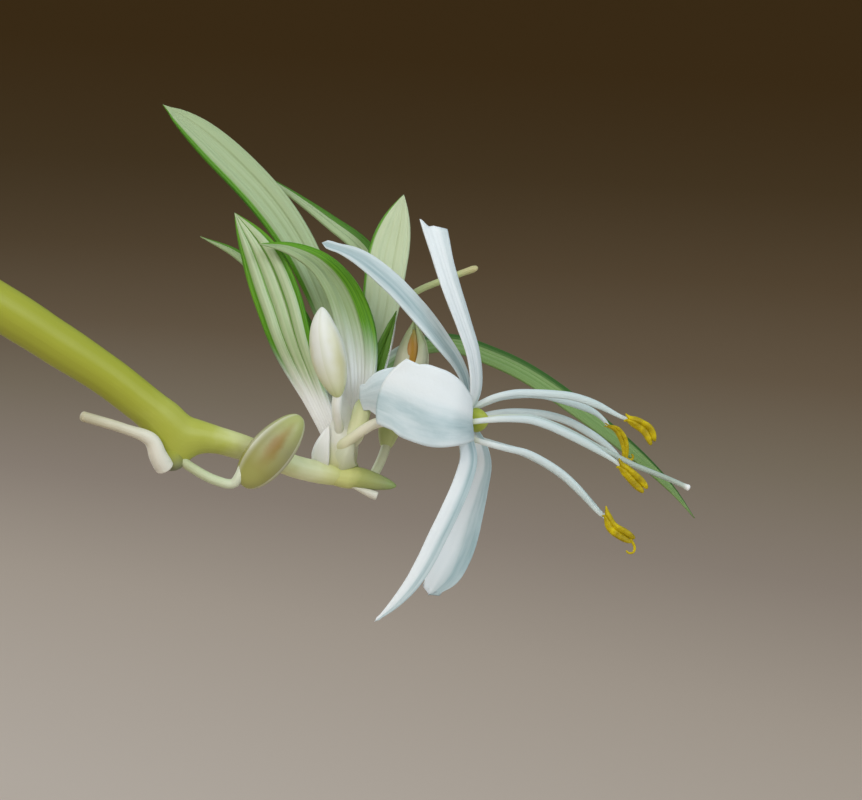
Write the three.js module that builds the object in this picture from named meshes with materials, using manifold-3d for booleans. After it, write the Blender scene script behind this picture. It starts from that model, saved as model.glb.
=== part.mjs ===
// A potted spider plant: a small clay pot of soil, the mother rosette of arching leaves, and one runner
// that ends in a flowering tip with a young plantlet, three buds and one open six-tepalled flower.
// Millimetres, +Z up. The origin is the middle of the pot's underside. The runner reaches out along +X.
import * as THREE from 'three';
import { mergeVertices } from 'three/addons/utils/BufferGeometryUtils.js';
import Module from 'manifold-3d';

const wasm = await Module();
wasm.setup();

// ---------------------------------------------------------------- driving dimensions

const GAP = 0.3; // clearance between pieces that touch
const BLADE = 0.6; // thickness of a tepal or a young leaf

const POT = {
  height: 80,
  baseRadius: 30,
  rimRadius: 45,
  wall: 4.2,
  floor: 6,
  collarHeight: 18,
  collarProud: 2.8,
  bevel: 1.2,
  sides: 40,
  drains: 3,
  drainRadius: 4,
  drainCircle: 16,
};

const SOIL = { level: 69, bump: 0.9, rings: 5, lip: 0.05 }; // lip: flat share along the pot's wall

const CROWN = { radius: 7.5, foot: 52, top: 79, sides: 16 };

const ROSETTE = {
  leaves: 27,
  seed: 11,
  thickness: 0.8,
  fold: 0.32,
  steps: 7,
  width: [6.5, 9.5], // innermost leaf, outermost leaf
  length: [88, 152],
  rise: [80, 44], // degrees above level at the foot
  droop: [18, 62], // degrees below level at the tip
  runnerSector: 15, // degrees each side of the runner that stay free
  foot: { radius: [1.5, 5], belowTop: [3, 7] }, // where a leaf starts, innermost and outermost
  vary: { heading: 12, length: 0.14, rise: 8, droop: 14, sway: 0.5 }, // full spread of each
  outline: { foot: 0.7, shoulder: 0.4, blunt: 1.7 },
};

// The flowering tip stands in a frame of its own: x to the right, z up and y away, as it is seen from
// in front by an eye VIEW_DISTANCE away. The frame's middle is at `middle`, turned and tipped as given.
const SPRIG = { middle: new THREE.Vector3(158, -10, 116), turn: -20, tip: -8 };
const VIEW_DISTANCE = 200;

const RUNNER = { footRadius: 1.7, archRadius: 1.45, sides: 10, steps: 44 };

const FLOWER_AXIS = -1.1; // the flower's axis runs along x at this z
const SEAT = { from: 0.9, to: 1.9, narrow: 0.45, wide: 1.2 };
const OVARY = { x: 2.82, radius: 0.6, flat: 0.7, lobe: 0.06 };
const FILAMENT = 0.28; // radius
const STYLE = 0.26;
const PEDICEL = 0.27;
const FLOWER_STALK_RADIUS = [0.28, 0.36];

const COLOUR = {
  clay: 0xb5653c,
  soil: 0x3a2a1e,
  leaf: 0x6f9f45,
  runner: 0xa9b44c,
  youngLeaf: 0x9fc27a,
  bract: 0xc5ca7c,
  cream: 0xe6e6c8,
  bud: 0xcfd0a0,
  tepal: 0xeef1f4,
  ovary: 0xa8b43a,
  anther: 0xd9a300,
};

// ---------------------------------------------------------------- small helpers

const { degToRad, lerp, smoothstep, clamp } = THREE.MathUtils;

const finish = (colour, roughness) =>
  new THREE.MeshStandardMaterial({ color: colour, roughness, metalness: 0 });

// A repeatable stream of numbers from 0 to 1.
function seeded(seed) {
  let state = seed;
  return () => {
    state = (state * 16807) % 2147483647;
    return state / 2147483647;
  };
}

// A point of the sprig, as seen: right and up in the plane through its middle, and how far behind it.
function seen([right, up, behind]) {
  const spread = 1 + behind / VIEW_DISTANCE;
  return new THREE.Vector3(right * spread, behind, up * spread);
}

function closedGeometry(geometry) {
  geometry.deleteAttribute('normal');
  geometry.deleteAttribute('uv');
  return mergeVertices(geometry, 1e-5);
}

function toSolid(geometry) {
  const merged = closedGeometry(geometry.clone());
  const order = Array.from(merged.index.array);
  const triVerts = [];
  for (let i = 0; i < order.length; i += 3) {
    const [a, b, c] = order.slice(i, i + 3);
    if (a !== b && b !== c && c !== a) triVerts.push(a, b, c);
  }
  return new wasm.Manifold(
    new wasm.Mesh({
      numProp: 3,
      vertProperties: new Float32Array(merged.attributes.position.array),
      triVerts: new Uint32Array(triVerts),
    }),
  );
}

function toGeometry(solid) {
  const mesh = solid.getMesh();
  const geometry = new THREE.BufferGeometry();
  geometry.setAttribute('position', new THREE.BufferAttribute(mesh.vertProperties, 3));
  geometry.setIndex(new THREE.BufferAttribute(mesh.triVerts, 1));
  geometry.computeVertexNormals();
  return geometry;
}

function fuse(geometries) {
  return toGeometry(geometries.map(toSolid).reduce((all, next) => all.add(next)));
}

function cut(geometry, ...tools) {
  return toGeometry(tools.map(toSolid).reduce((left, tool) => left.subtract(tool), toSolid(geometry)));
}

// Skins a stack of equal rings, each counter-clockwise about the way the stack grows. The ends are
// closed by fans from corner `hub`. The second half of a ring is split the other way from the first,
// so that the two faces of a thin blade share their diagonals.
function loft(rings, hub = 0) {
  const sides = rings[0].length;
  const last = (rings.length - 1) * sides;
  const index = [];
  for (let i = 0; i < rings.length - 1; i += 1) {
    for (let j = 0; j < sides; j += 1) {
      const a = i * sides + j;
      const b = i * sides + ((j + 1) % sides);
      const c = b + sides;
      const d = a + sides;
      if (j < sides / 2) index.push(a, b, c, a, c, d);
      else index.push(a, b, d, b, c, d);
    }
  }
  for (let k = 1; k < sides - 1; k += 1) {
    const p = (hub + k) % sides;
    const q = (hub + k + 1) % sides;
    index.push(hub, q, p, last + hub, last + p, last + q);
  }
  const geometry = new THREE.BufferGeometry().setFromPoints(rings.flat());
  geometry.setIndex(index);
  geometry.computeVertexNormals();
  return geometry;
}

// ---------------------------------------------------------------- stalks and blades

// A round stalk of changing radius along a smooth curve.
function stalk(points, radiusAt, sides = 8, steps = 10) {
  const curve = new THREE.CatmullRomCurve3(points);
  const frames = curve.computeFrenetFrames(steps, false);
  const rings = [];
  for (let i = 0; i <= steps; i += 1) {
    const centre = curve.getPointAt(i / steps);
    const radius = radiusAt(i / steps);
    const ring = [];
    for (let j = 0; j < sides; j += 1) {
      const angle = (2 * Math.PI * j) / sides;
      ring.push(
        centre
          .clone()
          .addScaledVector(frames.normals[i], radius * Math.cos(angle))
          .addScaledVector(frames.binormals[i], radius * Math.sin(angle)),
      );
    }
    rings.push(ring);
  }
  return loft(rings);
}

// Share of a blade's full width at u from foot to tip: `foot` at its base, full at `shoulder`, then
// closing to `tip`, the blunter the higher `blunt` is. `flare` widens its last fifth again.
function outline(u, { foot, shoulder, blunt, tip = 0.12, flare = 0 }) {
  const opening = foot + (1 - foot) * smoothstep(u, 0, shoulder);
  const closing = 1 - Math.pow(clamp((u - shoulder) / (1 - shoulder), 0, 1), blunt);
  return Math.max(opening * closing, tip) * (1 + flare * smoothstep(u, 0.8, 1));
}

// A leaf or tepal: a strip folded along its midrib, swept along a smooth curve. `facing` is the way its
// upper face looks, at the foot and at the tip.
function blade({ spine, facing, width, fold, thickness = BLADE, steps = 7, ...edge }) {
  const curve = new THREE.CatmullRomCurve3(spine);
  const rings = [];
  for (let i = 0; i <= steps; i += 1) {
    const u = i / steps;
    const centre = curve.getPointAt(u);
    const along = curve.getTangentAt(u);
    const side = facing[0].clone().lerp(facing[1], u).cross(along).normalize();
    const up = along.clone().cross(side);
    const half = (width / 2) * outline(u, edge);
    const lift = half * fold;
    const corner = (across, height) =>
      centre.clone().addScaledVector(side, across).addScaledVector(up, height);
    rings.push([
      corner(-half, lift - thickness / 2),
      corner(0, -thickness / 2),
      corner(half, lift - thickness / 2),
      corner(half, lift + thickness / 2),
      corner(0, thickness / 2),
      corner(-half, lift + thickness / 2),
    ]);
  }
  return loft(rings, 1);
}

// A blade of the sprig, given by points as seen.
const seenBlade = (shape) =>
  blade({
    ...shape,
    spine: shape.spine.map(seen),
    facing: shape.facing.map((way) => new THREE.Vector3(...way)),
  });

const seenStalk = (points, radiusAt, sides, steps) => stalk(points.map(seen), radiusAt, sides, steps);

// ---------------------------------------------------------------- pot and soil

const potBodyRadius = (z) => lerp(POT.baseRadius, POT.rimRadius - POT.collarProud, z / POT.height);
const potInsideRadius = (z) => potBodyRadius(z) - POT.wall;

// Turns a profile of [radius, height] corners about +Z.
function turned(profile, sides) {
  const corners = profile.map(([radius, height]) => new THREE.Vector2(radius, height));
  return new THREE.LatheGeometry(corners, sides).rotateX(Math.PI / 2);
}

function potGeometry() {
  const { height, baseRadius, rimRadius, floor, collarHeight, collarProud, bevel, sides } = POT;
  const collar = height - collarHeight;
  const body = turned(
    [
      [0, 0],
      [baseRadius - bevel, 0],
      [baseRadius, bevel],
      [potBodyRadius(collar), collar],
      [potBodyRadius(collar) + collarProud - bevel / 2, collar + bevel / 2],
      [rimRadius, height - bevel],
      [rimRadius - bevel, height],
      [potInsideRadius(height) + bevel, height],
      [potInsideRadius(height), height - bevel],
      [potInsideRadius(floor), floor],
      [0, floor],
    ],
    sides,
  );
  const drains = [];
  for (let i = 0; i < POT.drains; i += 1) {
    const angle = (2 * Math.PI * i) / POT.drains;
    drains.push(
      new THREE.CylinderGeometry(POT.drainRadius, POT.drainRadius, 3 * floor, 12)
        .rotateX(Math.PI / 2)
        .translate(POT.drainCircle * Math.cos(angle), POT.drainCircle * Math.sin(angle), floor / 2),
    );
  }
  return cut(body, ...drains);
}

const soilBump = (x, y) => {
  const broad = Math.sin(0.31 * x + 1) * Math.cos(0.27 * y);
  return SOIL.bump * (broad + 0.5 * Math.sin(0.6 * y - 0.4 * x));
};

function soilGeometry() {
  const bottom = POT.floor + GAP;
  const rim = potInsideRadius(SOIL.level) - GAP;
  const profile = [
    [0, bottom],
    [potInsideRadius(bottom) - GAP, bottom],
    [rim, SOIL.level],
  ];
  const heapRadius = rim * (1 - SOIL.lip);
  for (let i = SOIL.rings; i >= 0; i -= 1) profile.push([(heapRadius * i) / SOIL.rings, SOIL.level]);
  const heap = turned(profile, POT.sides);
  const place = heap.attributes.position;
  for (let i = 0; i < place.count; i += 1) {
    const inside = Math.hypot(place.getX(i), place.getY(i)) < heapRadius + GAP;
    if (inside && place.getZ(i) > SOIL.level - 1) {
      place.setZ(i, SOIL.level + soilBump(place.getX(i), place.getY(i)));
    }
  }
  const depth = POT.height - CROWN.foot;
  const holeRadius = CROWN.radius + 2 * GAP;
  const hole = new THREE.CylinderGeometry(holeRadius, holeRadius, depth, CROWN.sides)
    .rotateX(Math.PI / 2)
    .translate(0, 0, CROWN.foot - GAP + depth / 2);
  return cut(heap, hole);
}

// ---------------------------------------------------------------- runner

// Sprig frame to plant frame.
const sprig = new THREE.Group();
sprig.position.copy(SPRIG.middle);
sprig.rotation.set(degToRad(SPRIG.tip), 0, degToRad(SPRIG.turn), 'ZXY');
sprig.updateMatrixWorld();
const toPlant = (point) => seen(point).applyMatrix4(sprig.matrixWorld);

// The runner leaves the crown, arches over and comes down to the tip, in plant millimetres.
const RUNNER_ARCH = [
  [1.5, -0.5, 66],
  [5, -1, 90],
  [17, -2.5, 121],
  [40, -5, 144],
  [72, -8, 151],
  [101, -10, 142],
];
// Its last stretch, as seen, with its radius at each point.
const RUNNER_TIP = [
  [-23.7, 5.1, -9, 1.3],
  [-20.7, 3.2, -7.6, 1.25],
  [-17.8, 1.3, -6.2, 1.15],
  [-14.9, -0.9, -4.8, 1.12],
  [-13.4, -1.75, -4.2, 0.92],
  [-11.2, -2.35, -3.2, 0.7],
  [-8.9, -3.1, -2.2, 0.62],
  [-7.5, -3.65, -1.5, 0.6],
  [-6.0, -4.0, -0.9, 0.6],
  [-4.75, -4.15, -0.6, 0.56],
];

const runnerPoints = [
  ...RUNNER_ARCH.map((point) => new THREE.Vector3(...point)),
  ...RUNNER_TIP.map((point) => toPlant(point)),
];

// The radius along the whole runner, read between its points.
function runnerRadius(share) {
  const radii = [
    ...RUNNER_ARCH.map((_, i) => lerp(RUNNER.footRadius, RUNNER.archRadius, i / (RUNNER_ARCH.length - 1))),
    ...RUNNER_TIP.map((point) => point[3]),
  ];
  const curve = new THREE.CatmullRomCurve3(runnerPoints);
  const t = curve.getUtoTmapping(share) * (radii.length - 1);
  const i = Math.min(Math.floor(t), radii.length - 2);
  return lerp(radii[i], radii[i + 1], t - i);
}

// The knob under the runner's first flowering joint.
const KNOB = [
  [-14.5, -1.3, -4.7],
  [-14.3, -2.6, -4.5],
  [-14.15, -3.85, -4.4],
];
const KNOB_RADIUS = [0.95, 0.6];

function runnerGeometry() {
  const stem = stalk(runnerPoints, runnerRadius, RUNNER.sides, RUNNER.steps);
  const knob = stalk(KNOB.map(toPlant), (u) => lerp(...KNOB_RADIUS, u * u), 8, 3);
  return fuse([stem, knob]);
}

// ---------------------------------------------------------------- mother rosette

// One leaf's midrib: it climbs at `rise`, bends over and hangs at `droop` by its tip.
function leafSpine(heading, start, length, rise, droop, sway) {
  const points = [];
  const place = new THREE.Vector3(
    start.radius * Math.cos(heading),
    start.radius * Math.sin(heading),
    start.height,
  );
  const pieces = 8;
  for (let i = 0; i <= pieces; i += 1) {
    points.push(place.clone());
    const u = (i + 0.5) / pieces;
    const slope = degToRad(rise - (rise + droop) * Math.pow(u, 1.25));
    const way = heading + sway * u * u;
    const step = length / pieces;
    place.add(
      new THREE.Vector3(
        step * Math.cos(slope) * Math.cos(way),
        step * Math.cos(slope) * Math.sin(way),
        step * Math.sin(slope),
      ),
    );
  }
  return points;
}

// Turns a heading, in degrees from the runner, out of the free sector about it.
function clearOfRunner(degrees) {
  const wrapped = ((degrees + 540) % 360) - 180;
  const limit = ROSETTE.runnerSector;
  return Math.abs(wrapped) < limit ? Math.sign(wrapped || 1) * (limit + Math.abs(wrapped) / 2) : wrapped;
}

function rosetteLeaves() {
  const { foot, vary, outline: edge, fold, thickness, steps } = ROSETTE;
  const random = seeded(ROSETTE.seed);
  const jitter = (spread) => spread * (random() - 0.5);
  const goldenAngle = 137.5;
  const firstHeading = 60;
  const leaves = [];
  for (let i = 0; i < ROSETTE.leaves; i += 1) {
    const age = i / (ROSETTE.leaves - 1);
    const heading = degToRad(clearOfRunner(i * goldenAngle + firstHeading + jitter(vary.heading)));
    const length = lerp(...ROSETTE.length, Math.pow(age, 0.6)) * (1 + jitter(vary.length));
    const rise = lerp(...ROSETTE.rise, age) + jitter(vary.rise);
    const droop = lerp(...ROSETTE.droop, age) + jitter(vary.droop);
    const start = { radius: lerp(...foot.radius, age), height: CROWN.top - lerp(...foot.belowTop, age) };
    const sideways = new THREE.Vector3(-Math.cos(heading), -Math.sin(heading), 0);
    leaves.push({
      spine: leafSpine(heading, start, length, rise, droop, jitter(vary.sway)),
      facing: [sideways, sideways.clone().add(new THREE.Vector3(0, 0, 1.6))],
      width: lerp(...ROSETTE.width, Math.pow(age, 0.5)),
      ...edge,
      fold,
      thickness,
      steps,
    });
  }
  return leaves;
}

function rosetteGeometry() {
  const crown = turned(
    [
      [0, CROWN.foot],
      [CROWN.radius * 0.8, CROWN.foot],
      [CROWN.radius, CROWN.foot + 4],
      [CROWN.radius, CROWN.top - 8],
      [CROWN.radius * 0.85, CROWN.top - 2],
      [CROWN.radius * 0.5, CROWN.top],
      [0, CROWN.top],
    ],
    CROWN.sides,
  );
  const body = fuse([crown, ...rosetteLeaves().map(blade)]);
  const passage = stalk(runnerPoints, (u) => runnerRadius(u) + GAP, RUNNER.sides, RUNNER.steps);
  return cut(body, passage);
}

// ---------------------------------------------------------------- plantlet

const PLANTLET_CROWN = [
  [-5.0, -3.2, -0.2],
  [-5.0, -2.2, -0.1],
  [-4.8, -0.8, 0.1],
];

// Each leaf as seen, foot to tip.
const PLANTLET_LEAVES = [
  {
    // the longest, to the upper left
    spine: [
      [-4.9, -1.8, 0.3],
      [-4.9, 1.5, 0.8],
      [-5.6, 4.6, 1.2],
      [-7.2, 8.3, 1.5],
      [-9.0, 11.1, 1.5],
      [-12.0, 14.4, 1.1],
      [-14.7, 16.2, 0.7],
    ],
    facing: [[-0.3, -1, 0.2], [0.1, -0.9, 0.5]],
    width: 2.1,
    shoulder: 0.72,
    blunt: 2.4,
  },
  {
    // short, broad and pleated, in front on the left
    spine: [
      [-5.4, -2.0, -0.4],
      [-6.3, 0.0, -0.6],
      [-7.6, 3.0, -0.8],
      [-8.4, 5.5, -0.8],
      [-9.4, 8.0, -0.7],
      [-10.8, 10.3, -0.5],
    ],
    facing: [[-0.3, -1, 0], [0, -1, 0.1]],
    width: 2.4,
    foot: 0.45,
    shoulder: 0.6,
    blunt: 2.4,
  },
  {
    // arches over to the left, in front
    spine: [
      [-4.5, -1.8, -0.3],
      [-4.0, 0.0, -0.4],
      [-3.9, 1.9, -0.4],
      [-4.2, 4.1, -0.5],
      [-5.0, 6.1, -0.7],
      [-6.2, 7.5, -1.0],
      [-7.8, 8.3, -1.4],
      [-9.5, 8.6, -2.0],
    ],
    facing: [[-0.2, -1, 0], [0.2, -0.9, 0.7]],
    width: 2.1,
    shoulder: 0.4,
    blunt: 1.9,
  },
  {
    // upright, on the right
    spine: [
      [-4.3, -1.7, 0.5],
      [-3.7, 0.0, 1.0],
      [-3.2, 2.6, 1.5],
      [-2.8, 5.0, 1.8],
      [-2.3, 8.2, 2.0],
      [-1.5, 11.3, 1.8],
    ],
    facing: [[0.1, -1, 0], [0, -1, 0.2]],
    width: 2.2,
    shoulder: 0.72,
    blunt: 2.3,
  },
  {
    // behind, between the first and the fourth
    spine: [
      [-4.6, -1.7, 0.7],
      [-3.4, 1.6, 2.4],
      [-2.7, 5.3, 2.9],
      [-3.6, 8.1, 3.1],
      [-5.6, 9.8, 3.3],
      [-7.8, 11.4, 3.4],
      [-9.6, 12.6, 3.4],
    ],
    facing: [[0, -1, 0], [0.4, -0.7, 0.6]],
    width: 1.3,
  },
  {
    // behind, low on the left
    spine: [
      [-5.2, -1.8, 0.4],
      [-6.1, 1.6, 1.6],
      [-8.0, 5.5, 2.3],
      [-10.5, 7.9, 2.5],
      [-12.7, 9.0, 2.5],
    ],
    facing: [[-0.4, -1, 0], [0.3, -0.8, 0.6]],
    width: 1.2,
  },
  {
    // the long one to the right, behind the flower
    spine: [
      [-4.3, -1.7, 0.6],
      [-4.1, 0.0, 3.5],
      [-2.8, 1.7, 4.9],
      [-0.7, 2.9, 5.5],
      [1.1, 3.1, 5.6],
      [3.2, 2.4, 5.6],
      [5.1, 1.5, 5.5],
      [7.5, -0.1, 5.3],
      [11.2, -3.0, 4.7],
      [13.2, -4.9, 4.4],
      [14.5, -6.5, 4.2],
    ],
    facing: [[0.4, -0.9, 0.3], [0.4, -0.6, 0.5]],
    width: 1.3,
    shoulder: 0.6,
    blunt: 2.2,
  },
  {
    // the youngest, still folded, in the middle of the tuft
    spine: [
      [-4.2, -1.7, 0.2],
      [-3.5, 0.2, 0.3],
      [-2.9, 2.3, 0.4],
      [-1.9, 4.9, 0.5],
    ],
    facing: [[0.2, -1, 0], [0.6, -1, 0]],
    width: 0.9,
  },
];

const YOUNG_LEAF = { foot: 0.5, shoulder: 0.45, blunt: 1.8, fold: 0.22 };

function plantletGeometry() {
  const crown = seenStalk(PLANTLET_CROWN, (u) => 0.95 + 0.25 * Math.sin(Math.PI * u) - 0.25 * u, 10, 5);
  const leaves = PLANTLET_LEAVES.map((leaf) =>
    seenBlade({ ...YOUNG_LEAF, ...leaf, steps: leaf.spine.length + 2 }),
  );
  return fuse([crown, ...leaves]);
}

// ---------------------------------------------------------------- bracts, stubs and buds

const BRACT = { foot: 0.8, shoulder: 0.25, blunt: 1.4, fold: 0.2, steps: 4 };

const BRACTS = {
  bract_white: {
    spine: [[-6.9, -3.25, -2.35], [-6.6, -2.6, -2.2], [-6.1, -1.8, -1.95]],
    facing: [[-0.2, -1, 0], [-0.2, -1, 0]],
    width: 1.0,
  },
  bract_front: {
    spine: [[-4.95, -4.1, -1.8], [-4.7, -3.3, -1.85], [-4.25, -2.45, -1.8]],
    facing: [[0, -1, 0], [0, -1, 0]],
    width: 1.3,
  },
};

// The sheath that closes the runner's end runs out to a green point.
const END_SHEATH = {
  spine: [[-3.85, -4.2, -0.55], [-3.1, -4.45, -0.5], [-2.35, -4.65, -0.45], [-1.9, -4.72, -0.4]],
  radius: (u) => lerp(0.66, 0.3, u * u),
};

// Bare flower stalks whose flowers have dropped, and the first root.
const BARE_STALKS = {
  stalk_bare_lower: {
    spine: [
      [-15.1, -3.7, -5.9],
      [-15.15, -2.6, -5.9],
      [-15.6, -2.0, -6.1],
      [-16.8, -1.6, -6.6],
      [-19.2, -0.9, -7.4],
    ],
    radius: (u) => lerp(0.45, 0.27, smoothstep(u, 0, 0.5)),
  },
  stalk_bare_upper: {
    spine: [
      [-5.2, -1.9, 1.65],
      [-5.0, 0.8, 3.6],
      [-4.2, 2.8, 4.4],
      [-2.8, 4.4, 4.5],
      [-0.9, 5.9, 4.4],
      [0.7, 6.6, 4.2],
      [2.6, 7.3, 4.0],
    ],
    radius: () => 0.26,
  },
  root_tip: {
    spine: [[-4.6, -5.35, -0.6], [-3.7, -5.4, -0.5], [-2.8, -5.5, -0.4]],
    radius: (u) => lerp(0.2, 0.26, u),
  },
};

// Each bud: its stalk, its own axis from foot to tip, its greatest radius, all as seen.
const BUDS = {
  bud_lower: {
    stalk: [[-12.9, -4.0, -4.5], [-11.9, -4.45, -4.6], [-10.9, -4.65, -4.4], [-10.2, -4.4, -4.3]],
    axis: [[-10.4, -4.7, -4.35], [-7.15, -0.9, -4.3]],
    radius: 1.15,
  },
  bud_white: {
    stalk: [[-5.2, -2.0, -1.65], [-5.3, -0.8, -2.2], [-5.3, 0.6, -2.7]],
    axis: [[-5.3, 0.3, -2.7], [-6.0, 5.1, -3.0]],
    radius: 0.95,
  },
  bud_spent: {
    stalk: [[-3.1, -3.45, 0.8], [-2.75, -2.95, 1.3], [-2.75, -2.4, 1.7], [-2.7, -1.8, 1.8]],
    axis: [[-2.8, -2.4, 1.8], [-1.0, 4.0, 1.8]],
    radius: 0.75,
  },
};

// Radius share of a bud from foot to tip: fullest below the middle, blunt at the tip.
const budProfile = (u) => Math.max(Math.pow(Math.sin(Math.PI * Math.pow(u, 0.85)), 0.5), 0.25);

function budGeometry({ stalk: stem, axis, radius }) {
  const body = seenStalk(axis, (u) => radius * budProfile(u), 10, 8);
  return fuse([seenStalk(stem, () => PEDICEL, 6, 6), body]);
}

// ---------------------------------------------------------------- flower

// Six tepals as seen, foot to tip.
const TEPALS = [
  {
    // broad, towards the eye, folded back to the left
    spine: [
      [1.8, -1.1, -0.3],
      [2.05, -1.0, -1.7],
      [0.9, -0.45, -2.9],
      [-1.0, 0.1, -3.5],
      [-3.1, -0.3, -3.6],
    ],
    facing: [[1, 0, 0], [-0.2, -1, 0.1]],
    width: 4.35,
    shoulder: 0.6,
    blunt: 4.4,
    tip: 0.33,
    steps: 9,
  },
  {
    // long, to the upper left
    spine: [
      [1.8, -0.8, -0.1],
      [1.9, 0.8, -0.3],
      [1.5, 1.9, -0.5],
      [0.5, 3.3, -0.9],
      [-0.7, 4.8, -1.3],
      [-2.3, 6.5, -1.8],
      [-4.1, 7.9, -2.2],
      [-6.0, 8.65, -2.6],
    ],
    facing: [[0.8, -0.7, 0], [0.2, -0.9, 0.4]],
    width: 1.4,
    shoulder: 0.5,
    blunt: 2.4,
    tip: 0.3,
  },
  {
    // straight up, with a flared end
    spine: [
      [1.85, -0.9, -0.3],
      [2.4, 0.5, -0.8],
      [2.3, 2.4, -1.2],
      [1.75, 4.2, -1.5],
      [1.1, 6.1, -1.75],
      [0.5, 8.1, -1.9],
      [0.15, 9.75, -2.0],
    ],
    facing: [[1, -0.4, 0], [0.6, -0.8, 0.1]],
    width: 1.15,
    shoulder: 0.4,
    blunt: 8,
    tip: 1,
    flare: 0.3,
  },
  {
    // narrow, down and to the left, nearer the eye
    spine: [
      [1.8, -1.3, -0.3],
      [2.0, -2.6, -0.8],
      [1.95, -3.8, -1.2],
      [1.3, -5.35, -1.5],
      [0.55, -7.0, -1.8],
      [-0.25, -8.55, -2.0],
      [-1.2, -10.1, -2.1],
      [-3.1, -12.15, -2.2],
    ],
    facing: [[0.8, -0.6, 0], [0.1, -1, 0.1]],
    width: 0.82,
    shoulder: 0.25,
    blunt: 3,
    tip: 0.2,
  },
  {
    // broad towards its end, down, behind the last
    spine: [
      [1.85, -1.3, 0.2],
      [2.55, -2.9, 0.6],
      [2.55, -4.4, 0.7],
      [2.1, -5.9, 0.7],
      [1.4, -8.2, 0.5],
      [0.5, -9.8, 0.1],
      [0.1, -10.65, -0.1],
    ],
    facing: [[0.8, -0.6, 0], [0, -1, 0]],
    width: 2.4,
    shoulder: 0.7,
    blunt: 3,
    tip: 0.6,
  },
  {
    // starts away from the eye and folds back to the left behind the first
    spine: [
      [1.8, -1.0, 0.3],
      [1.5, -0.3, 0.9],
      [0.6, 0.3, 0.5],
      [-0.9, 0.4, -0.6],
      [-2.6, 0.3, -1.3],
      [-3.95, 0.1, -1.6],
    ],
    facing: [[1, 0, 0], [0.1, 1, 0.1]],
    width: 2.9,
    shoulder: 0.6,
    blunt: 4,
    tip: 0.33,
  },
];

const TEPAL = { foot: 0.4, fold: 0.12 };

const FLOWER_STALK = [
  [-5.0, -2.5, -1.75],
  [-4.7, -2.05, -1.8],
  [-3.9, -1.5, -1.5],
  [-2.8, -1.2, -0.9],
  [-0.6, -1.15, -0.2],
  [1.4, -1.1, 0],
];

// Stamens: each filament as seen, and the anther that rides on its end with its greatest radius.
const STAMENS = [
  {
    filament: [
      [1.85, -0.55, 0.1], [2.6, -0.25, 0.1], [3.4, 0.12, 0.1], [4.6, 0.38, 0.1], [5.6, 0.38, 0.1],
      [6.9, 0.3, 0.1], [7.8, 0.18, 0.1], [9.1, -0.25, 0.1], [10.5, -0.95, 0.1],
    ],
    anther: [[10.6, -0.95, -0.6], [11.2, -1.3, -0.7], [11.8, -1.7, -0.7], [12.2, -2.35, -0.7]],
    radius: 0.3,
  },
  {
    filament: [
      [1.85, -0.6, 0.8], [2.6, -0.34, 0.95], [3.8, 0.12, 1.15], [5.1, 0.3, 1.35], [6.2, 0.25, 1.5],
      [7.2, 0.0, 1.6], [8.3, -0.36, 1.65], [9.1, -0.75, 1.65], [9.55, -1.15, 1.65],
    ],
    anther: [[9.7, -1.4, 0.9], [10.2, -1.7, 0.88], [10.6, -2.3, 0.86], [10.65, -3.1, 0.85]],
    radius: 0.28,
  },
  {
    filament: [
      [1.85, -1.2, 0.95], [3.0, -0.83, 1.4], [4.2, -0.66, 1.8], [5.5, -0.7, 2.2], [6.5, -0.85, 2.4],
      [7.6, -1.2, 2.6], [8.6, -1.75, 2.7], [9.5, -2.36, 2.75], [10.2, -3.0, 2.75],
    ],
    anther: [[10.5, -3.15, 2.0], [11.2, -3.8, 1.9], [11.9, -4.6, 1.9]],
    radius: 0.32,
  },
  {
    filament: [
      [1.85, -1.25, -1.0], [3.35, -1.09, -1.3], [4.6, -1.05, -1.45], [5.5, -1.13, -1.5],
      [6.5, -1.44, -1.55], [7.55, -1.92, -1.6], [8.6, -2.45, -1.6], [10.0, -3.3, -1.65],
    ],
    anther: [[10.15, -3.5, -2.35], [10.8, -4.05, -2.4], [11.35, -4.6, -2.4], [11.8, -5.1, -2.4]],
    radius: 0.34,
  },
  {
    filament: [
      [1.85, -2.0, -0.4], [2.95, -2.36, -0.6], [4.15, -2.67, -0.8], [5.2, -2.91, -0.9],
      [6.35, -3.5, -1.0], [7.3, -4.16, -1.0], [8.25, -5.08, -1.0], [9.35, -6.3, -1.0],
    ],
    anther: [[9.5, -6.1, -1.75], [9.95, -6.85, -1.8], [10.6, -7.4, -1.8], [11.15, -7.85, -1.8]],
    radius: 0.38,
  },
  {
    filament: [[1.85, -1.9, 0.6], [3.6, -2.45, 1.3], [5.4, -3.05, 1.8], [7.3, -4.2, 2.0], [9.5, -6.4, 2.0]],
    anther: [[9.7, -6.5, 1.3], [10.3, -7.1, 1.2], [10.9, -7.8, 1.2]],
    radius: 0.34,
  },
];

const STYLE_SPINE = [
  [3.55, -1.05, 0],
  [4.6, -0.95, 0],
  [5.6, -1.0, 0],
  [6.7, -1.35, 0],
  [7.9, -1.9, 0],
  [9.0, -2.5, 0],
  [10.1, -3.05, 0],
  [11.1, -3.55, 0],
  [12.1, -4.05, 0],
  [13.15, -4.42, 0],
  [14.15, -4.8, 0],
];

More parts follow.
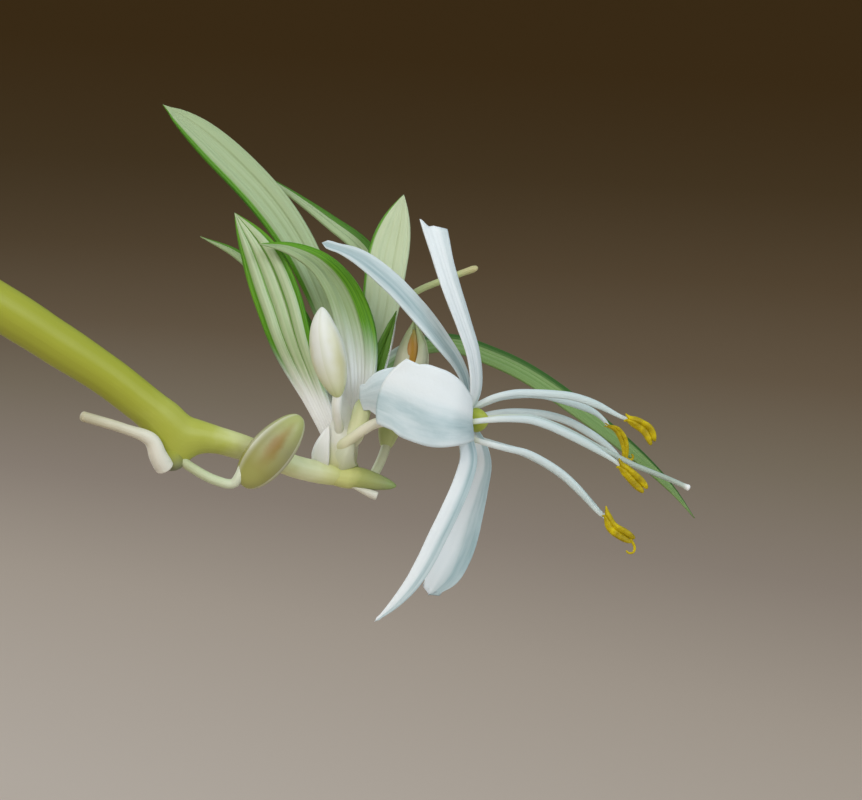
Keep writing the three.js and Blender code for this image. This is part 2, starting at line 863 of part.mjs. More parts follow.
function flowerGeometry() {
  const seat = seenStalk(
    [[SEAT.from, FLOWER_AXIS, 0], [(SEAT.from + SEAT.to) / 2, FLOWER_AXIS, 0], [SEAT.to, FLOWER_AXIS, 0]],
    (u) => lerp(SEAT.narrow, SEAT.wide, smoothstep(u, 0, 0.8)),
    12,
    3,
  );
  const tepals = TEPALS.map((tepal) => seenBlade({ ...TEPAL, steps: tepal.spine.length + 1, ...tepal }));
  const filaments = STAMENS.map(({ filament }) =>
    seenStalk(filament, (u) => FILAMENT * (1 - 0.25 * u), 6, 9),
  );
  const stem = seenStalk(FLOWER_STALK, (u) => lerp(...FLOWER_STALK_RADIUS, u), 8, 9);
  return fuse([seat, ...tepals, ...filaments, stem]);
}

// A three-lobed globe in front of the flower's seat.
function ovaryGeometry() {
  const globe = new THREE.SphereGeometry(OVARY.radius, 12, 8).rotateZ(-Math.PI / 2);
  const place = globe.attributes.position;
  for (let i = 0; i < place.count; i += 1) {
    const angle = Math.atan2(place.getZ(i), place.getY(i));
    const lobe = 1 + OVARY.lobe * Math.cos(3 * angle);
    place.setXYZ(i, place.getX(i) * OVARY.flat, place.getY(i) * lobe, place.getZ(i) * lobe);
  }
  const centre = seen([OVARY.x, FLOWER_AXIS, 0]);
  return globe.translate(centre.x, centre.y, centre.z);
}

// Two pollen sacs side by side, closing at both ends.
function antherGeometry(spine, greatest) {
  const curve = new THREE.CatmullRomCurve3(spine.map(seen));
  const steps = 6;
  const sides = 8;
  const frames = curve.computeFrenetFrames(steps, false);
  const rings = [];
  for (let i = 0; i <= steps; i += 1) {
    const u = i / steps;
    const radius = greatest * Math.max(Math.pow(Math.sin(Math.PI * u), 0.4), 0.45);
    const ring = [];
    for (let j = 0; j < sides; j += 1) {
      const angle = (2 * Math.PI * j) / sides;
      const sac = radius * (0.72 + 0.28 * Math.abs(Math.cos(angle)));
      ring.push(
        curve
          .getPointAt(u)
          .addScaledVector(frames.normals[i], sac * Math.cos(angle))
          .addScaledVector(frames.binormals[i], sac * Math.sin(angle)),
      );
    }
    rings.push(ring);
  }
  return loft(rings);
}

// ---------------------------------------------------------------- the assembly

const plant = new THREE.Group();

function place(parent, name, geometry, colour, roughness) {
  const mesh = new THREE.Mesh(geometry, finish(colour, roughness));
  mesh.name = name;
  parent.add(mesh);
}

place(plant, 'pot', potGeometry(), COLOUR.clay, 0.9);
place(plant, 'soil', soilGeometry(), COLOUR.soil, 1);
place(plant, 'rosette', rosetteGeometry(), COLOUR.leaf, 0.5);
place(plant, 'runner', runnerGeometry(), COLOUR.runner, 0.5);

plant.add(sprig);
place(sprig, 'plantlet', plantletGeometry(), COLOUR.youngLeaf, 0.5);
Object.entries(BRACTS).forEach(([name, shape]) => {
  place(sprig, name, seenBlade({ ...BRACT, ...shape }), COLOUR.bract, 0.6);
});
place(sprig, 'end_sheath', seenStalk(END_SHEATH.spine, END_SHEATH.radius, 8, 6), COLOUR.bract, 0.6);
Object.entries(BARE_STALKS).forEach(([name, { spine, radius }]) => {
  place(sprig, name, seenStalk(spine, radius, 8, 2 * spine.length), COLOUR.cream, 0.6);
});
Object.entries(BUDS).forEach(([name, bud]) => place(sprig, name, budGeometry(bud), COLOUR.bud, 0.6));
place(sprig, 'flower', flowerGeometry(), COLOUR.tepal, 0.5);
place(sprig, 'ovary', ovaryGeometry(), COLOUR.ovary, 0.5);
place(sprig, 'style', seenStalk(STYLE_SPINE, () => STYLE, 6, 10), COLOUR.tepal, 0.5);
STAMENS.forEach(({ anther, radius }, i) => {
  place(sprig, `anther_${i + 1}`, antherGeometry(anther, radius), COLOUR.anther, 0.8);
});

export default plant;
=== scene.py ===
# A potted spider plant in bloom: clay pot, compost, variegated rosette and one runner whose tip
# carries a young plantlet, three buds and an open white flower. Sizes are the model's, in metres.
import random
from collections import namedtuple
from math import atan2, cos, exp, pi, radians, sin, sqrt, tau

import bmesh
import bpy
from mathutils import Euler, Matrix, Vector, noise


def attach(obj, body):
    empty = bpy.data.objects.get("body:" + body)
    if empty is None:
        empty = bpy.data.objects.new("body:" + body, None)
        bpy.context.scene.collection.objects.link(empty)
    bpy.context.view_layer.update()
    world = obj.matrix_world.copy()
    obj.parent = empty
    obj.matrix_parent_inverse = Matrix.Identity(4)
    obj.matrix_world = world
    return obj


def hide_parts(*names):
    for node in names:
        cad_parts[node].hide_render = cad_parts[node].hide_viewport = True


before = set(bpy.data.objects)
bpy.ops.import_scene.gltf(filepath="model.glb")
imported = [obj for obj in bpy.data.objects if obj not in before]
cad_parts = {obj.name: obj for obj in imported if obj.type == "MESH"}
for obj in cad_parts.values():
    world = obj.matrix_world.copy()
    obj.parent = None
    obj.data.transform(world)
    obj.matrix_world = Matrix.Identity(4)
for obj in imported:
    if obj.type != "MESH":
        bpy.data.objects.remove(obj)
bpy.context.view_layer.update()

bl_info = {
    "name": "Potted spider plant in bloom", "version": (1, 0, 0), "blender": (4, 5, 0),
    "location": "View3D > Sidebar > Spider plant",
    "description": "Builds a flowering spider plant in a clay pot, piece by piece",
    "category": "Add Mesh",
}

MM = 0.001
BODY = "root"

# ------------------------------------------------------------------ shared sizes, millimetres

POT = {
    "height": 80, "base": 30, "rim": 45, "wall": 4.2, "floor": 6, "collar": 18, "proud": 2.8, "drains": 3,
    "drain": 4, "drain_circle": 16,
}
SOIL_LEVEL, SOIL_BUMP = 69, 0.9
SOIL_RINGS = 46
SOIL_LUMPS = ((0, 0.35, 0.9), (4, 0.9, 0.55), (9, 2.1, 0.3))  # layer of the noise, its fineness, its height
CROWN_TOP, CROWN_RADIUS = 79, 7.5
CRUMB_SEED, RIPPLE_SEED = 5, 21
GOLDEN_ANGLE, FIRST_HEADING = 137.5, 60  # degrees from leaf to leaf, and where the first one stands
ROSETTE = {
    "leaves": 27, "seed": 11, "fold": 0.32, "width": (6.5, 9.5), "length": (88, 152), "rise": (80, 44),
    "droop": (18, 62), "sector": 15,
}

# The flowering tip has a frame of its own: x right, z up and y away, as an eye in front of it sees it.
EYE_DISTANCE = 200
SPRIG_MIDDLE = Vector((158, -10, 116))
SPRIG_TURN = Euler((radians(-8), 0, radians(-20)), "XYZ").to_matrix()
PICTURE_WIDTH = 47.41  # what the eye sees from side to side at the sprig's middle


def seen(point):
    """A point of the sprig given as seen (right, up, how far behind its middle), in metres."""
    right, up, behind = point
    spread = 1 + behind / EYE_DISTANCE
    return (SPRIG_MIDDLE + SPRIG_TURN @ Vector((right * spread, behind, up * spread))) * MM


def seen_way(way):
    """A direction of the sprig given as seen (right, behind, up)."""
    return (SPRIG_TURN @ Vector(way)).normalized()


def seen_line(points):
    """Points of the sprig given as seen."""
    return [seen(p) for p in points]


TO_EYE = seen_way((0, -1, 0))  # the way from the sprig to the eye


# ------------------------------------------------------------------ curves


def spline(knots, t):
    """A centripetal curve between the middle two of four points."""
    a, b, c, d = knots
    first, second, third = (max((q - p).length ** 0.5, 1e-7) for p, q in ((a, b), (b, c), (c, d)))
    leave = ((b - a) / first - (c - a) / (first + second) + (c - b) / second) * second
    arrive = ((c - b) / second - (d - b) / (second + third) + (d - c) / third) * second
    bend = 3 * (c - b) - 2 * leave - arrive
    settle = 2 * (b - c) + leave + arrive
    return b + leave * t + bend * t * t + settle * t * t * t


class Path:
    """A smooth curve through points, read by the share of its length."""

    def __init__(self, points, pieces=16):
        knots = [2 * points[0] - points[1], *points, 2 * points[-1] - points[-2]]
        self.places = [
            spline(knots[i : i + 4], k / pieces) for i in range(len(points) - 1) for k in range(pieces)
        ]
        self.places.append(points[-1].copy())
        self.reach = [0]
        for a, b in zip(self.places, self.places[1:]):
            self.reach.append(self.reach[-1] + (b - a).length)
        self.pieces = pieces

    def find(self, share):
        """The stretch that holds a share of the length, and how far along it."""
        goal = min(max(share, 0), 1) * self.reach[-1]
        low, high = 0, len(self.reach) - 1
        while high - low > 1:
            middle = (low + high) // 2
            low, high = (middle, high) if self.reach[middle] <= goal else (low, middle)
        return low, (goal - self.reach[low]) / max(self.reach[high] - self.reach[low], 1e-12)

    def at(self, share):
        """The point at a share of the length."""
        i, rest = self.find(share)
        return self.places[i].lerp(self.places[i + 1], rest)

    def along(self, share):
        """The way that the curve takes there."""
        step = 0.004
        return (self.at(share + step) - self.at(share - step)).normalized()

    def knot(self, share):
        """Where a share of the length lies, counted in the points that the curve was drawn through."""
        i, rest = self.find(share)
        return (i + rest) / self.pieces


def smooth(value, low, high):
    """A share from 0 at `low` to 1 at `high` that eases in and out."""
    t = min(max((value - low) / (high - low), 0), 1)
    return t * t * (3 - 2 * t)


def mix(a, b, share):
    """A number between two others."""
    return a + (b - a) * share


# ------------------------------------------------------------------ colours and materials


def linear(colour):
    """An sRGB hex colour as linear light."""
    channels = [int(colour[i : i + 2], 16) / 255 for i in (1, 3, 5)]
    return (*[c / 12.92 if c <= 0.04045 else ((c + 0.055) / 1.055) ** 2.4 for c in channels], 1)


def add(tree, kind, inputs=None, **settings):
    """Adds a node with its settings, and sets or links its inputs."""
    made = tree.nodes.new("ShaderNode" + kind)
    for name, value in settings.items():
        setattr(made, name, value)
    for name, value in (inputs or {}).items():
        if isinstance(value, bpy.types.NodeSocket):
            tree.links.new(value, made.inputs[name])
        else:
            made.inputs[name].default_value = value
    return made


def rgba(value):
    """A hex colour, a grey or a colour property as four linear channels."""
    if isinstance(value, str):
        return linear(value)
    return (value, value, value, 1) if isinstance(value, (int, float)) else tuple(value)


def ramp(factor, *stops):
    """A colour ramp read by a socket. Each stop is a place and a colour."""
    made = add(factor.id_data, "ValToRGB", {"Fac": factor})
    band = made.color_ramp
    while len(band.elements) < len(stops):
        band.elements.new(1)
    for element, (place, colour) in zip(band.elements, stops):
        element.position, element.color = place, rgba(colour)
    return made.outputs["Color"]


def blend(factor, first, second):
    """A colour between two others, each a socket or a colour."""
    pair = [c if isinstance(c, bpy.types.NodeSocket) else rgba(c) for c in (first, second)]
    inputs = {"Factor": factor, "A": pair[0], "B": pair[1]}
    return add(factor.id_data, "Mix", inputs, data_type="RGBA").outputs["Result"]


def sums(operation, *values):
    """One step of arithmetic on numbers and sockets."""
    tree = next(v.id_data for v in values if isinstance(v, bpy.types.NodeSocket))
    return add(tree, "Math", dict(enumerate(values)), operation=operation).outputs[0]


def remap(value, low, high, to_low, to_high, smooth_step=False):
    """A number moved from one range to another and kept inside it."""
    kind = "SMOOTHSTEP" if smooth_step else "LINEAR"
    inputs = {"Value": value, "From Min": low, "From Max": high, "To Min": to_low, "To Max": to_high}
    return add(value.id_data, "MapRange", inputs, interpolation_type=kind).outputs["Result"]


def cloud(where, scale, detail=3, roughness=0.5):
    """Soft noise from 0 to 1, with `scale` patches to a unit of `where`."""
    inputs = {"Vector": where, "Scale": scale, "Detail": detail, "Roughness": roughness}
    return add(where.id_data, "TexNoise", inputs).outputs["Fac"]


def relief_of(height, strength, distance, under=None):
    """A bump of the given depth in metres, laid over another one."""
    inputs = {"Height": height, "Strength": strength, "Distance": distance}
    if under:
        inputs["Normal"] = under
    return add(height.id_data, "Bump", inputs).outputs["Normal"]


def attribute(tree, name):
    """Reads a number that the mesh holds at each point."""
    return add(tree, "Attribute", attribute_name=name).outputs["Fac"]


def strip_place(tree):
    """Where a point lies on a strip or a tube: across or around it, and along it, each from 0 to 1."""
    uv = add(tree, "SeparateXYZ", {"Vector": add(tree, "UVMap").outputs["UV"]})
    return uv.outputs["X"], uv.outputs["Y"]


def lengthwise(across, along, tint, scale):
    """A place for streaks that run along a strip: `scale` is (across, along, from strip to strip)."""
    tree = across.id_data
    way = add(tree, "CombineXYZ", {"X": across, "Y": along, "Z": tint}).outputs["Vector"]
    return add(tree, "VectorMath", {0: way, 1: scale}, operation="MULTIPLY").outputs["Vector"]


def place_of(tree):
    """Where a point of the object lies, in metres."""
    return add(tree, "TexCoord").outputs["Object"]


def new_material(name):
    """An empty material and its nodes."""
    material = bpy.data.materials.new(name)
    material.use_nodes = True
    material.node_tree.nodes.clear()
    return material, material.node_tree


def finish_with(tree, shader, name):
    """Links a shader to a new output node."""
    output = add(tree, "OutputMaterial")
    tree.links.new(shader.outputs[name], output.inputs["Surface"])


def solid(tree, colour, rough, normal=None, shine=0.5):
    """Finishes a material that lets no light through."""
    inputs = {"Base Color": colour, "Roughness": rough, "Specular IOR Level": shine}
    if normal:
        inputs["Normal"] = normal
    finish_with(tree, add(tree, "BsdfPrincipled", inputs), "BSDF")


def leafy(tree, colour, normal, rough, through):
    """Finishes a thin living sheet: a waxy surface that also lets light through."""
    inputs = {"Base Color": colour, "Normal": normal, "Roughness": rough, "IOR": 1.42}
    face = add(tree, "BsdfPrincipled", inputs).outputs["BSDF"]
    behind = add(tree, "BsdfTranslucent", {"Color": colour, "Normal": normal}).outputs["BSDF"]
    finish_with(tree, add(tree, "MixShader", {0: through, 1: face, 2: behind}), "Shader")


def fired_clay():
    """Unglazed terracotta, turned and fired: matt, with a sandy grain, faint rings and lime bloom."""
    material, tree = new_material("unglazed terracotta")
    place = place_of(tree)
    body = cloud(place, 38, 6, 0.6)
    grain = cloud(place, 2600, 3, 0.7)
    clay = ramp(body, (0.3, "#a05838"), (0.52, colours().clay), (0.75, "#c98662"))
    speck = blend(ramp(grain, (0.58, 0), (0.75, 0.35)), clay, "#e0b495")
    height = add(tree, "SeparateXYZ", {"Vector": place}).outputs["Z"]
    patches = cloud(place, 70, 8, 0.72)
    reach = remap(height, 0, 0.055, 0.6, 0.25)
    bloom = sums("MULTIPLY", ramp(patches, (0.5, 0), (0.7, 1)), reach)
    wave = {"Vector": place, "Scale": 105, "Distortion": 1.2, "Detail": 2}
    rings = add(tree, "TexWave", wave, bands_direction="Z").outputs["Fac"]
    sandy = relief_of(grain, 0.5, 0.0002, relief_of(rings, 0.12, 0.0002))
    solid(tree, blend(bloom, speck, "#dcc3ab"), remap(body, 0, 1, 0.82, 0.96), sandy)
    return material


def compost():
    """Damp potting compost of bark and peat: dark fibres and crumbs, with a dull wet gleam here and there."""
    material, tree = new_material("damp bark compost")
    place = place_of(tree)
    crumbs = add(tree, "TexVoronoi", {"Vector": place, "Scale": 620})
    fibre = cloud(place, 900, 5)
    tone = ramp(fibre, (0.3, "#1b120c"), (0.55, colours().soil), (0.8, "#6f5138"))
    chip = add(tree, "SeparateColor", {"Color": crumbs.outputs["Color"]}).outputs["Red"]
    colour = blend(ramp(chip, (0.78, 0), (0.95, 0.7)), tone, "#8a6747")
    lumps = relief_of(crumbs.outputs["Distance"], 0.9, 0.0006)
    solid(tree, colour, remap(fibre, 0, 1, 0.98, 0.62), lumps)
    return material


def crumb_finish():
    """Loose bits on the compost: bark chips and expanded white grit, told apart by a tint on each."""
    material, tree = new_material("bark chips and perlite")
    mottle = cloud(place_of(tree), 1500, 4)
    shifted = sums("ADD", attribute(tree, "tint"), remap(mottle, 0.3, 0.7, -0.06, 0.06))
    stops = ((0, "#24170e"), (0.45, "#4a3220"), (0.8, "#7d5a3b"), (0.9, "#cfc8ba"), (1, "#e6e2d8"))
    solid(tree, ramp(shifted, *stops), 0.9, relief_of(mottle, 0.6, 0.0003))
    return material


def variegated_leaf(name, margin, middle, foot, ribs, through=0.25):
    """A waxy strap leaf with green margins and a cream middle, in parallel streaks that run its whole length.
    Its numbers say how wide the margins are, how strong the streaks, how deep the shade, how far the foot."""
    material, tree = new_material(name)
    across, along = strip_place(tree)
    tint = attribute(tree, "tint")
    streaks = cloud(lengthwise(across, along, tint, (26, 1.3, 9)), 1, 3, 0.6)
    threads = cloud(lengthwise(across, along, tint, (60, 2, 20)), 1, 2)
    moved = sums("ADD", across, remap(streaks, 0.2, 0.8, -0.06, 0.06))
    from_low = sums("SUBTRACT", moved, attribute(tree, "margin_low"))
    from_high = sums("SUBTRACT", sums("SUBTRACT", 1, moved), attribute(tree, "margin_high"))
    inside = remap(sums("MINIMUM", from_low, from_high), -0.03, 0.05, 0, 1, True)
    fresh = ramp(threads, (0.3, margin[0]), (0.7, margin[1]))
    green = blend(attribute(tree, "dull"), fresh, "#35602c")
    striped = ramp(streaks, (0.34, middle[0]), (0.5, middle[1]), (0.68, middle[2]))
    even = blend(attribute(tree, "shade"), middle[2], "#5a8c08")
    pale = blend(attribute(tree, "streaks"), even, striped)
    wave = sums("COSINE", sums("MULTIPLY", moved, 3 * tau))
    lined = sums("MULTIPLY", remap(wave, 0.35, 1, 0, 0.85, True), attribute(tree, "lines"))
    face = blend(inside, green, blend(lined, pale, green))
    slant = sums("ADD", attribute(tree, "foot_end"), remap(across, 0, 1, -0.1, 0.1))
    reach = sums("ADD", slant, remap(streaks, 0.2, 0.8, -0.04, 0.04))
    to_foot = remap(along, sums("MULTIPLY", reach, 0.4), reach, 1, 0, True)
    pleats = sums("SINE", sums("MULTIPLY", across, ribs * tau))
    bumps = relief_of(threads, 0.3, 0.00008, relief_of(pleats, 0.25, 0.00006))
    leafy(tree, blend(to_foot, face, foot), bumps, 0.42, through)
    return material


def tepal_finish():
    """A thin waxy white tepal: faintly sparkling cells and a soft grey-blue band that breaks into veins. The
    band is partly the tepal's veins and partly painted shade.
    """
    material, tree = new_material("white flower tissue")
    across, along = strip_place(tree)
    tint = attribute(tree, "tint")
    streaks = cloud(lengthwise(across, along, tint, (9, 2.2, 7)), 1, 4, 0.65)
    blotches = cloud(lengthwise(across, along, tint, (5, 3.2, 7)), 1, 3)
    away = sums("ABSOLUTE", sums("SUBTRACT", across, attribute(tree, "band_middle")))
    band = remap(sums("DIVIDE", away, attribute(tree, "band_reach")), 0.2, 1, 1, 0, True)
    streaked = ramp(streaks, (0.36, 0.7), (0.64, 1))
    broken = sums("MULTIPLY", streaked, ramp(blotches, (0.34, 0.62), (0.6, 1)))
    # The grey-blue band is partly real veins and partly painted shade, strongest on the tepals and sides that
    # lie in shade.
    blue = sums("MULTIPLY", sums("MULTIPLY", band, broken), attribute(tree, "blueness"))
    cells = cloud(place_of(tree), 5200, 2)
    bumps = relief_of(cells, 0.3, 0.00004, relief_of(streaks, 0.2, 0.00006))
    leafy(tree, blend(blue, colours().tepal, colours().tepal_vein), bumps, 0.42, 0.3)
    return material


def stalk_finish(name, stops, through=0.12, mottle=0.12, grain=900):
    """A smooth fleshy stalk, its colour changing from foot to tip, with faint lengthwise fibres."""
    material, tree = new_material(name)
    around, along = strip_place(tree)
    mottled = cloud(place_of(tree), grain, 4)
    read = sums("ADD", along, remap(mottled, 0, 1, -mottle, mottle))
    fibre = cloud(lengthwise(around, along, 0, (22, 3, 1)), 1, 3)
    leafy(tree, ramp(read, *stops), relief_of(fibre, 0.25, 0.0001), 0.45, through)
    return material


def bud_finish(name, skin, seam, stripe, strength, turn, window, reach):
    """A closed bud: smooth tepals, their seams and a soft stripe that is strongest within `window`. A pale,
    strong seam colour also paints a highlight along the seams.
    """
    material, tree = new_material(name)
    around, along = strip_place(tree)
    mottled = cloud(place_of(tree), 1300, 4)
    thirds = sums("FRACT", sums("ADD", sums("MULTIPLY", around, 3), turn))
    away = sums("ABSOLUTE", sums("SUBTRACT", thirds, 0.5))
    ragged = sums("ADD", away, remap(mottled, 0, 1, -0.12, 0.12))
    striped = remap(ragged, 0, reach, strength, 0, True)
    middle = sum(window) / 2
    ends = (remap(along, window[0], middle, 0, 1, True), remap(along, middle, window[1], 1, 0, True))
    shown = sums("MULTIPLY", striped, sums("MULTIPLY", *ends))
    # Seam colour along the joins of the tepals; where it is pale and strong it is a painted highlight.
    seam_and_highlight_share = remap(thirds, 0, 0.22, seam[1], 0, True)
    face = blend(seam_and_highlight_share, ramp(along, *skin), seam[0])
    leafy(tree, blend(shown, face, stripe), relief_of(mottled, 0.2, 0.0001), 0.4, 0.15)
    return material


def pollen_sac():
    """Ripe pollen sacs: waxy deep yellow skin with fine grains, olive in patches."""
    material, tree = new_material("golden pollen")
    place = place_of(tree)
    grains = add(tree, "TexVoronoi", {"Vector": place, "Scale": 9000}).outputs["Distance"]
    patches = cloud(place, 1900, 3)
    gold = ramp(patches, (0.3, "#8f7b00"), (0.5, colours().pollen), (0.7, "#c9b400"))
    solid(tree, gold, 0.5, relief_of(grains, 0.5, 0.00004), shine=0.22)
    return material


def paper_with_painted_light():
    """Seamless studio paper, matt, with its light painted on: pale round the plant as a painted pool of
    light, and painted shade darkening evenly towards its far rim.
    """
    material, tree = new_material("graded studio paper")
    place = place_of(tree)
    away = add(tree, "VectorMath", {0: place, 1: PAINTED_LIGHT_MIDDLE}, operation="DISTANCE").outputs["Value"]
    # These stops paint the light: the pale tones near the middle are a painted pool of light, and the darker
    # far tones are painted shade.
    painted_pool_stops = ((0.504, colours().floor), (0.538, "#bcaa9b"), (0.566, "#a69385"), (0.599, "#96836f"))
    stops = (*painted_pool_stops, (0.638, "#876f57"), (0.7, "#7b6044"), (0.798, "#6c5030"), (0.924, colours().floor_painted_shade))
    solid(tree, ramp(sums("MULTIPLY", away, 0.28), *stops), 0.95, shine=0.1)
    return material


# ------------------------------------------------------------------ meshes


def add_object(name, data):
    """Adds an object that shows the given data to the scene."""
    made = bpy.data.objects.new(name, data)
    bpy.context.scene.collection.objects.link(made)
    return made


def mesh_object(name, bm, material=None):
    """Turns a bmesh into a smooth object."""
    mesh = bpy.data.meshes.new(name)
    bm.to_mesh(mesh)
    bm.free()
    mesh.shade_smooth()
    if material:
        mesh.materials.append(material)
    return add_object(name, mesh)


def finish_piece(name, bm, material, node, thickness=0):
    """Turns a bmesh into a finished piece that rides with the plant and stands for its model node."""
    made = mesh_object(name, bm, material)
    if thickness:
        shell = made.modifiers.new("leaf thickness", "SOLIDIFY")
        shell.thickness = thickness
        shell.offset = 0
        shell.vertex_group = made.vertex_groups.new(name="thickness").name
        shell.thickness_vertex_group = 0.2
    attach(made, BODY)
    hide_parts(node)
    return made


def new_bmesh(*numbers):
    """A bmesh with a UV map and the named numbers that its material reads at each point."""
    bm = bmesh.new()
    bm.loops.layers.uv.new("UVMap")
    bm.verts.layers.deform.verify()
    for name in numbers:
        bm.verts.layers.float.new(name)
    return bm


def outline(u, edge):
    """Share of a blade's full width from foot to tip. It opens up to the shoulder and closes from there, the
    later the blunter it is. `tip` is the least that is left of it, `flare` widens its last fifth again, and
    `round` is how much of its end is rounded off."""
    opening = edge["foot"] + (1 - edge["foot"]) * smooth(u, 0, edge["shoulder"])
    t = min(max((u - edge["shoulder"]) / (1 - edge["shoulder"]), 0), 1)
    closing = opening * max(1 - t ** edge["blunt"], edge.get("tip", 0.03))
    end = edge.get("round", 0.02)
    rounding = sqrt(max(1 - smooth(u, 1 - end, 1) ** 2, 0.0004)) if end else 1
    return closing * (1 + edge.get("flare", 0) * smooth(u, 0.8, 1)) * rounding


def add_blade(bm, spine, facing, width, edge, along=30, across=8, fold=0.2, relief=None, cut=None, **numbers):
    """Lays a grid along a curve as a folded strip. `relief` lifts it further, in widths, at (across, along),
    and `cut` shortens it by a share of its length at each place across, which notches its end."""
    path = Path(spine)
    weights = bm.verts.layers.deform.active
    made = bmesh.ops.create_grid(bm, x_segments=across, y_segments=along, size=1, calc_uvs=True)
    for vert in made["verts"]:
        s, u = vert.co.x, (vert.co.y + 1) / 2
        vert[weights][0] = smooth(1 - u, 0, 0.14) * (1 - 0.6 * smooth(abs(s), 0.5, 1))
        place = u * (1 - cut(s)) if cut else u
        tangent = path.along(place)
        side = facing[0].lerp(facing[1], u).cross(tangent).normalized()
        up = tangent.cross(side)
        half = width / 2 * outline(u, edge)
        lift = fold * (sqrt(s * s + 0.02) - 0.1)
        if relief:
            lift += relief(s, u)
        vert.co = path.at(place) + side * (half * s) + up * (half * lift)
        for name, value in numbers.items():
            vert[bm.verts.layers.float[name]] = value


def add_seen_blade(bm, spine, facing, width, edge, **form):
    """A blade that is given as seen, its width in millimetres."""
    add_blade(bm, seen_line(spine), [seen_way(way) for way in facing], width * MM, edge, **form)


def add_tube(bm, points, radius, around=16, along=40, section=None, normal=None):
    """A closed tube along a curve, its ends drawn to points, from a grid that is rolled up and sewn.
    `radius` gives its millimetres along, `section` a share of them around, counted from `normal`."""
    path = Path(points)
    made = bmesh.ops.create_grid(bm, x_segments=around, y_segments=along, size=1, calc_uvs=True)
    places = [mix(k / along, (1 - cos(pi * k / along)) / 2, 0.85) for k in range(along + 1)]
    before = path.along(0)
    first = normal or before.orthogonal()
    rings = []
    for u in places:
        tangent = path.along(u)
        first = before.rotation_difference(tangent) @ first
        first = (first - tangent * first.dot(tangent)).normalized()
        rings.append((path.at(u), first.copy(), tangent.cross(first)))
        before = tangent
    for vert in made["verts"]:
        angle, k = pi * vert.co.x, round((vert.co.y + 1) / 2 * along)
        u = places[k]
        centre, first, second = rings[k]
        for loop in vert.link_loops:
            loop[bm.loops.layers.uv.active].uv.y = u
        reach = radius(u) * MM * (section(angle, u) if section else 1)
        if not 1e-6 < u < 1 - 1e-6:
            reach = 0
        vert.co = centre + (first * cos(angle) + second * sin(angle)) * reach
    bmesh.ops.remove_doubles(bm, verts=made["verts"], dist=1e-7)


def closed(bm):
    """Turns the faces of a closed body outwards."""
    bmesh.ops.recalc_face_normals(bm, faces=bm.faces)


def tube_piece(name, points, radius, finish, node, slot, **form):
    """A piece that is one tube through points as seen."""
    bm = new_bmesh()
    add_tube(bm, seen_line(points), radius, **form)
    closed(bm)
    finish_piece(name, bm, finish, node)


def rounded(u, ends):
    """Rounds a stalk's two cut ends over a share of its length."""
    nearest = min(u, 1 - u) / ends
    return 1 if nearest >= 1 else sqrt(max(1 - (1 - nearest) ** 2, 0))


# ------------------------------------------------------------------ settings


def size_property(name, description, default):
    """A length in metres for the panel."""
    return bpy.props.FloatProperty(name=name, description=description, default=default, min=0, unit="LENGTH")


class SpiderPlantSettings(bpy.types.PropertyGroup):
    """Sizes that a user would change."""

    leaf_thickness: size_property("Mother leaf thickness", "Thickness of the rosette's leaves", 0.00045)
    young_thickness: size_property("Young leaf thickness", "Thickness of the plantlet's leaves", 0.0003)
    tepal_thickness: size_property("Tepal thickness", "Thickness of the flower's tepals", 0.00016)
    picture_width: size_property(
        "Picture width", "What the camera sees from side to side", PICTURE_WIDTH * MM,
    )
    crumbs: bpy.props.IntProperty(name="Crumbs", description="Loose bits on the compost", default=420, min=0)


def colour_property(name, description, default):
    """A colour for the panel, its default an sRGB hex colour."""
    return bpy.props.FloatVectorProperty(
        name=name, description=description, default=linear(default), size=4, min=0, max=1, subtype="COLOR",
    )


class SpiderPlantColours(bpy.types.PropertyGroup):
    """The main colours."""

    clay: colour_property("Clay", "Fired clay of the pot", "#b96a43")
    soil: colour_property("Compost", "Damp compost", "#3a2a1e")
    margin_dark: colour_property("Leaf margin, dark", "Green edge of a leaf", "#3f7a1f")
    margin_light: colour_property("Leaf margin, light", "Green edge of a leaf", "#6fae35")
    middle: colour_property("Leaf middle", "Cream band of a leaf", "#d6e0b4")
    runner: colour_property("Runner", "The runner's stem", "#a8ad3c")
    tepal: colour_property("Tepal", "White of the flower", "#f6fafc")
    # This grey-blue paints both the tepals' veins and their painted shade.
    tepal_vein: colour_property("Tepal vein", "Grey-blue of the tepals' veins", "#9db9bd")
    pollen: colour_property("Pollen", "Golden pollen sacs", "#ab9600")
    # The paper's two tones paint its light: the pale one is a painted pool of light round the plant, and the
    # far one is painted shade.
    floor: colour_property("Paper", "Studio paper round the plant", "#c8b8ab")
    floor_painted_shade: colour_property("Paper, far", "The paper's darker tone far behind", "#63441f")


def settings():
    return bpy.context.scene.spider_plant_settings


def colours():
    return bpy.context.scene.spider_plant_colours


# ------------------------------------------------------------------ pot and compost


def pot_body(height):
    """The pot's outer radius at a height, without its collar."""
    return mix(POT["base"], POT["rim"] - POT["proud"], height / POT["height"])


def spun(profile, steps):
    """Spins a profile of (radius, height) in millimetres into a closed body about +Z."""
    bm = bmesh.new()
    verts = [bm.verts.new(Vector((r, 0, z)) * MM) for r, z in profile]
    edges = [bm.edges.new(pair) for pair in zip(verts, verts[1:])]
    bmesh.ops.spin(
        bm, geom=verts + edges, cent=(0, 0, 0), axis=(0, 0, 1), angle=tau, steps=steps, use_merge=True,
    )
    bmesh.ops.remove_doubles(bm, verts=bm.verts, dist=1e-7)
    closed(bm)
    return bm


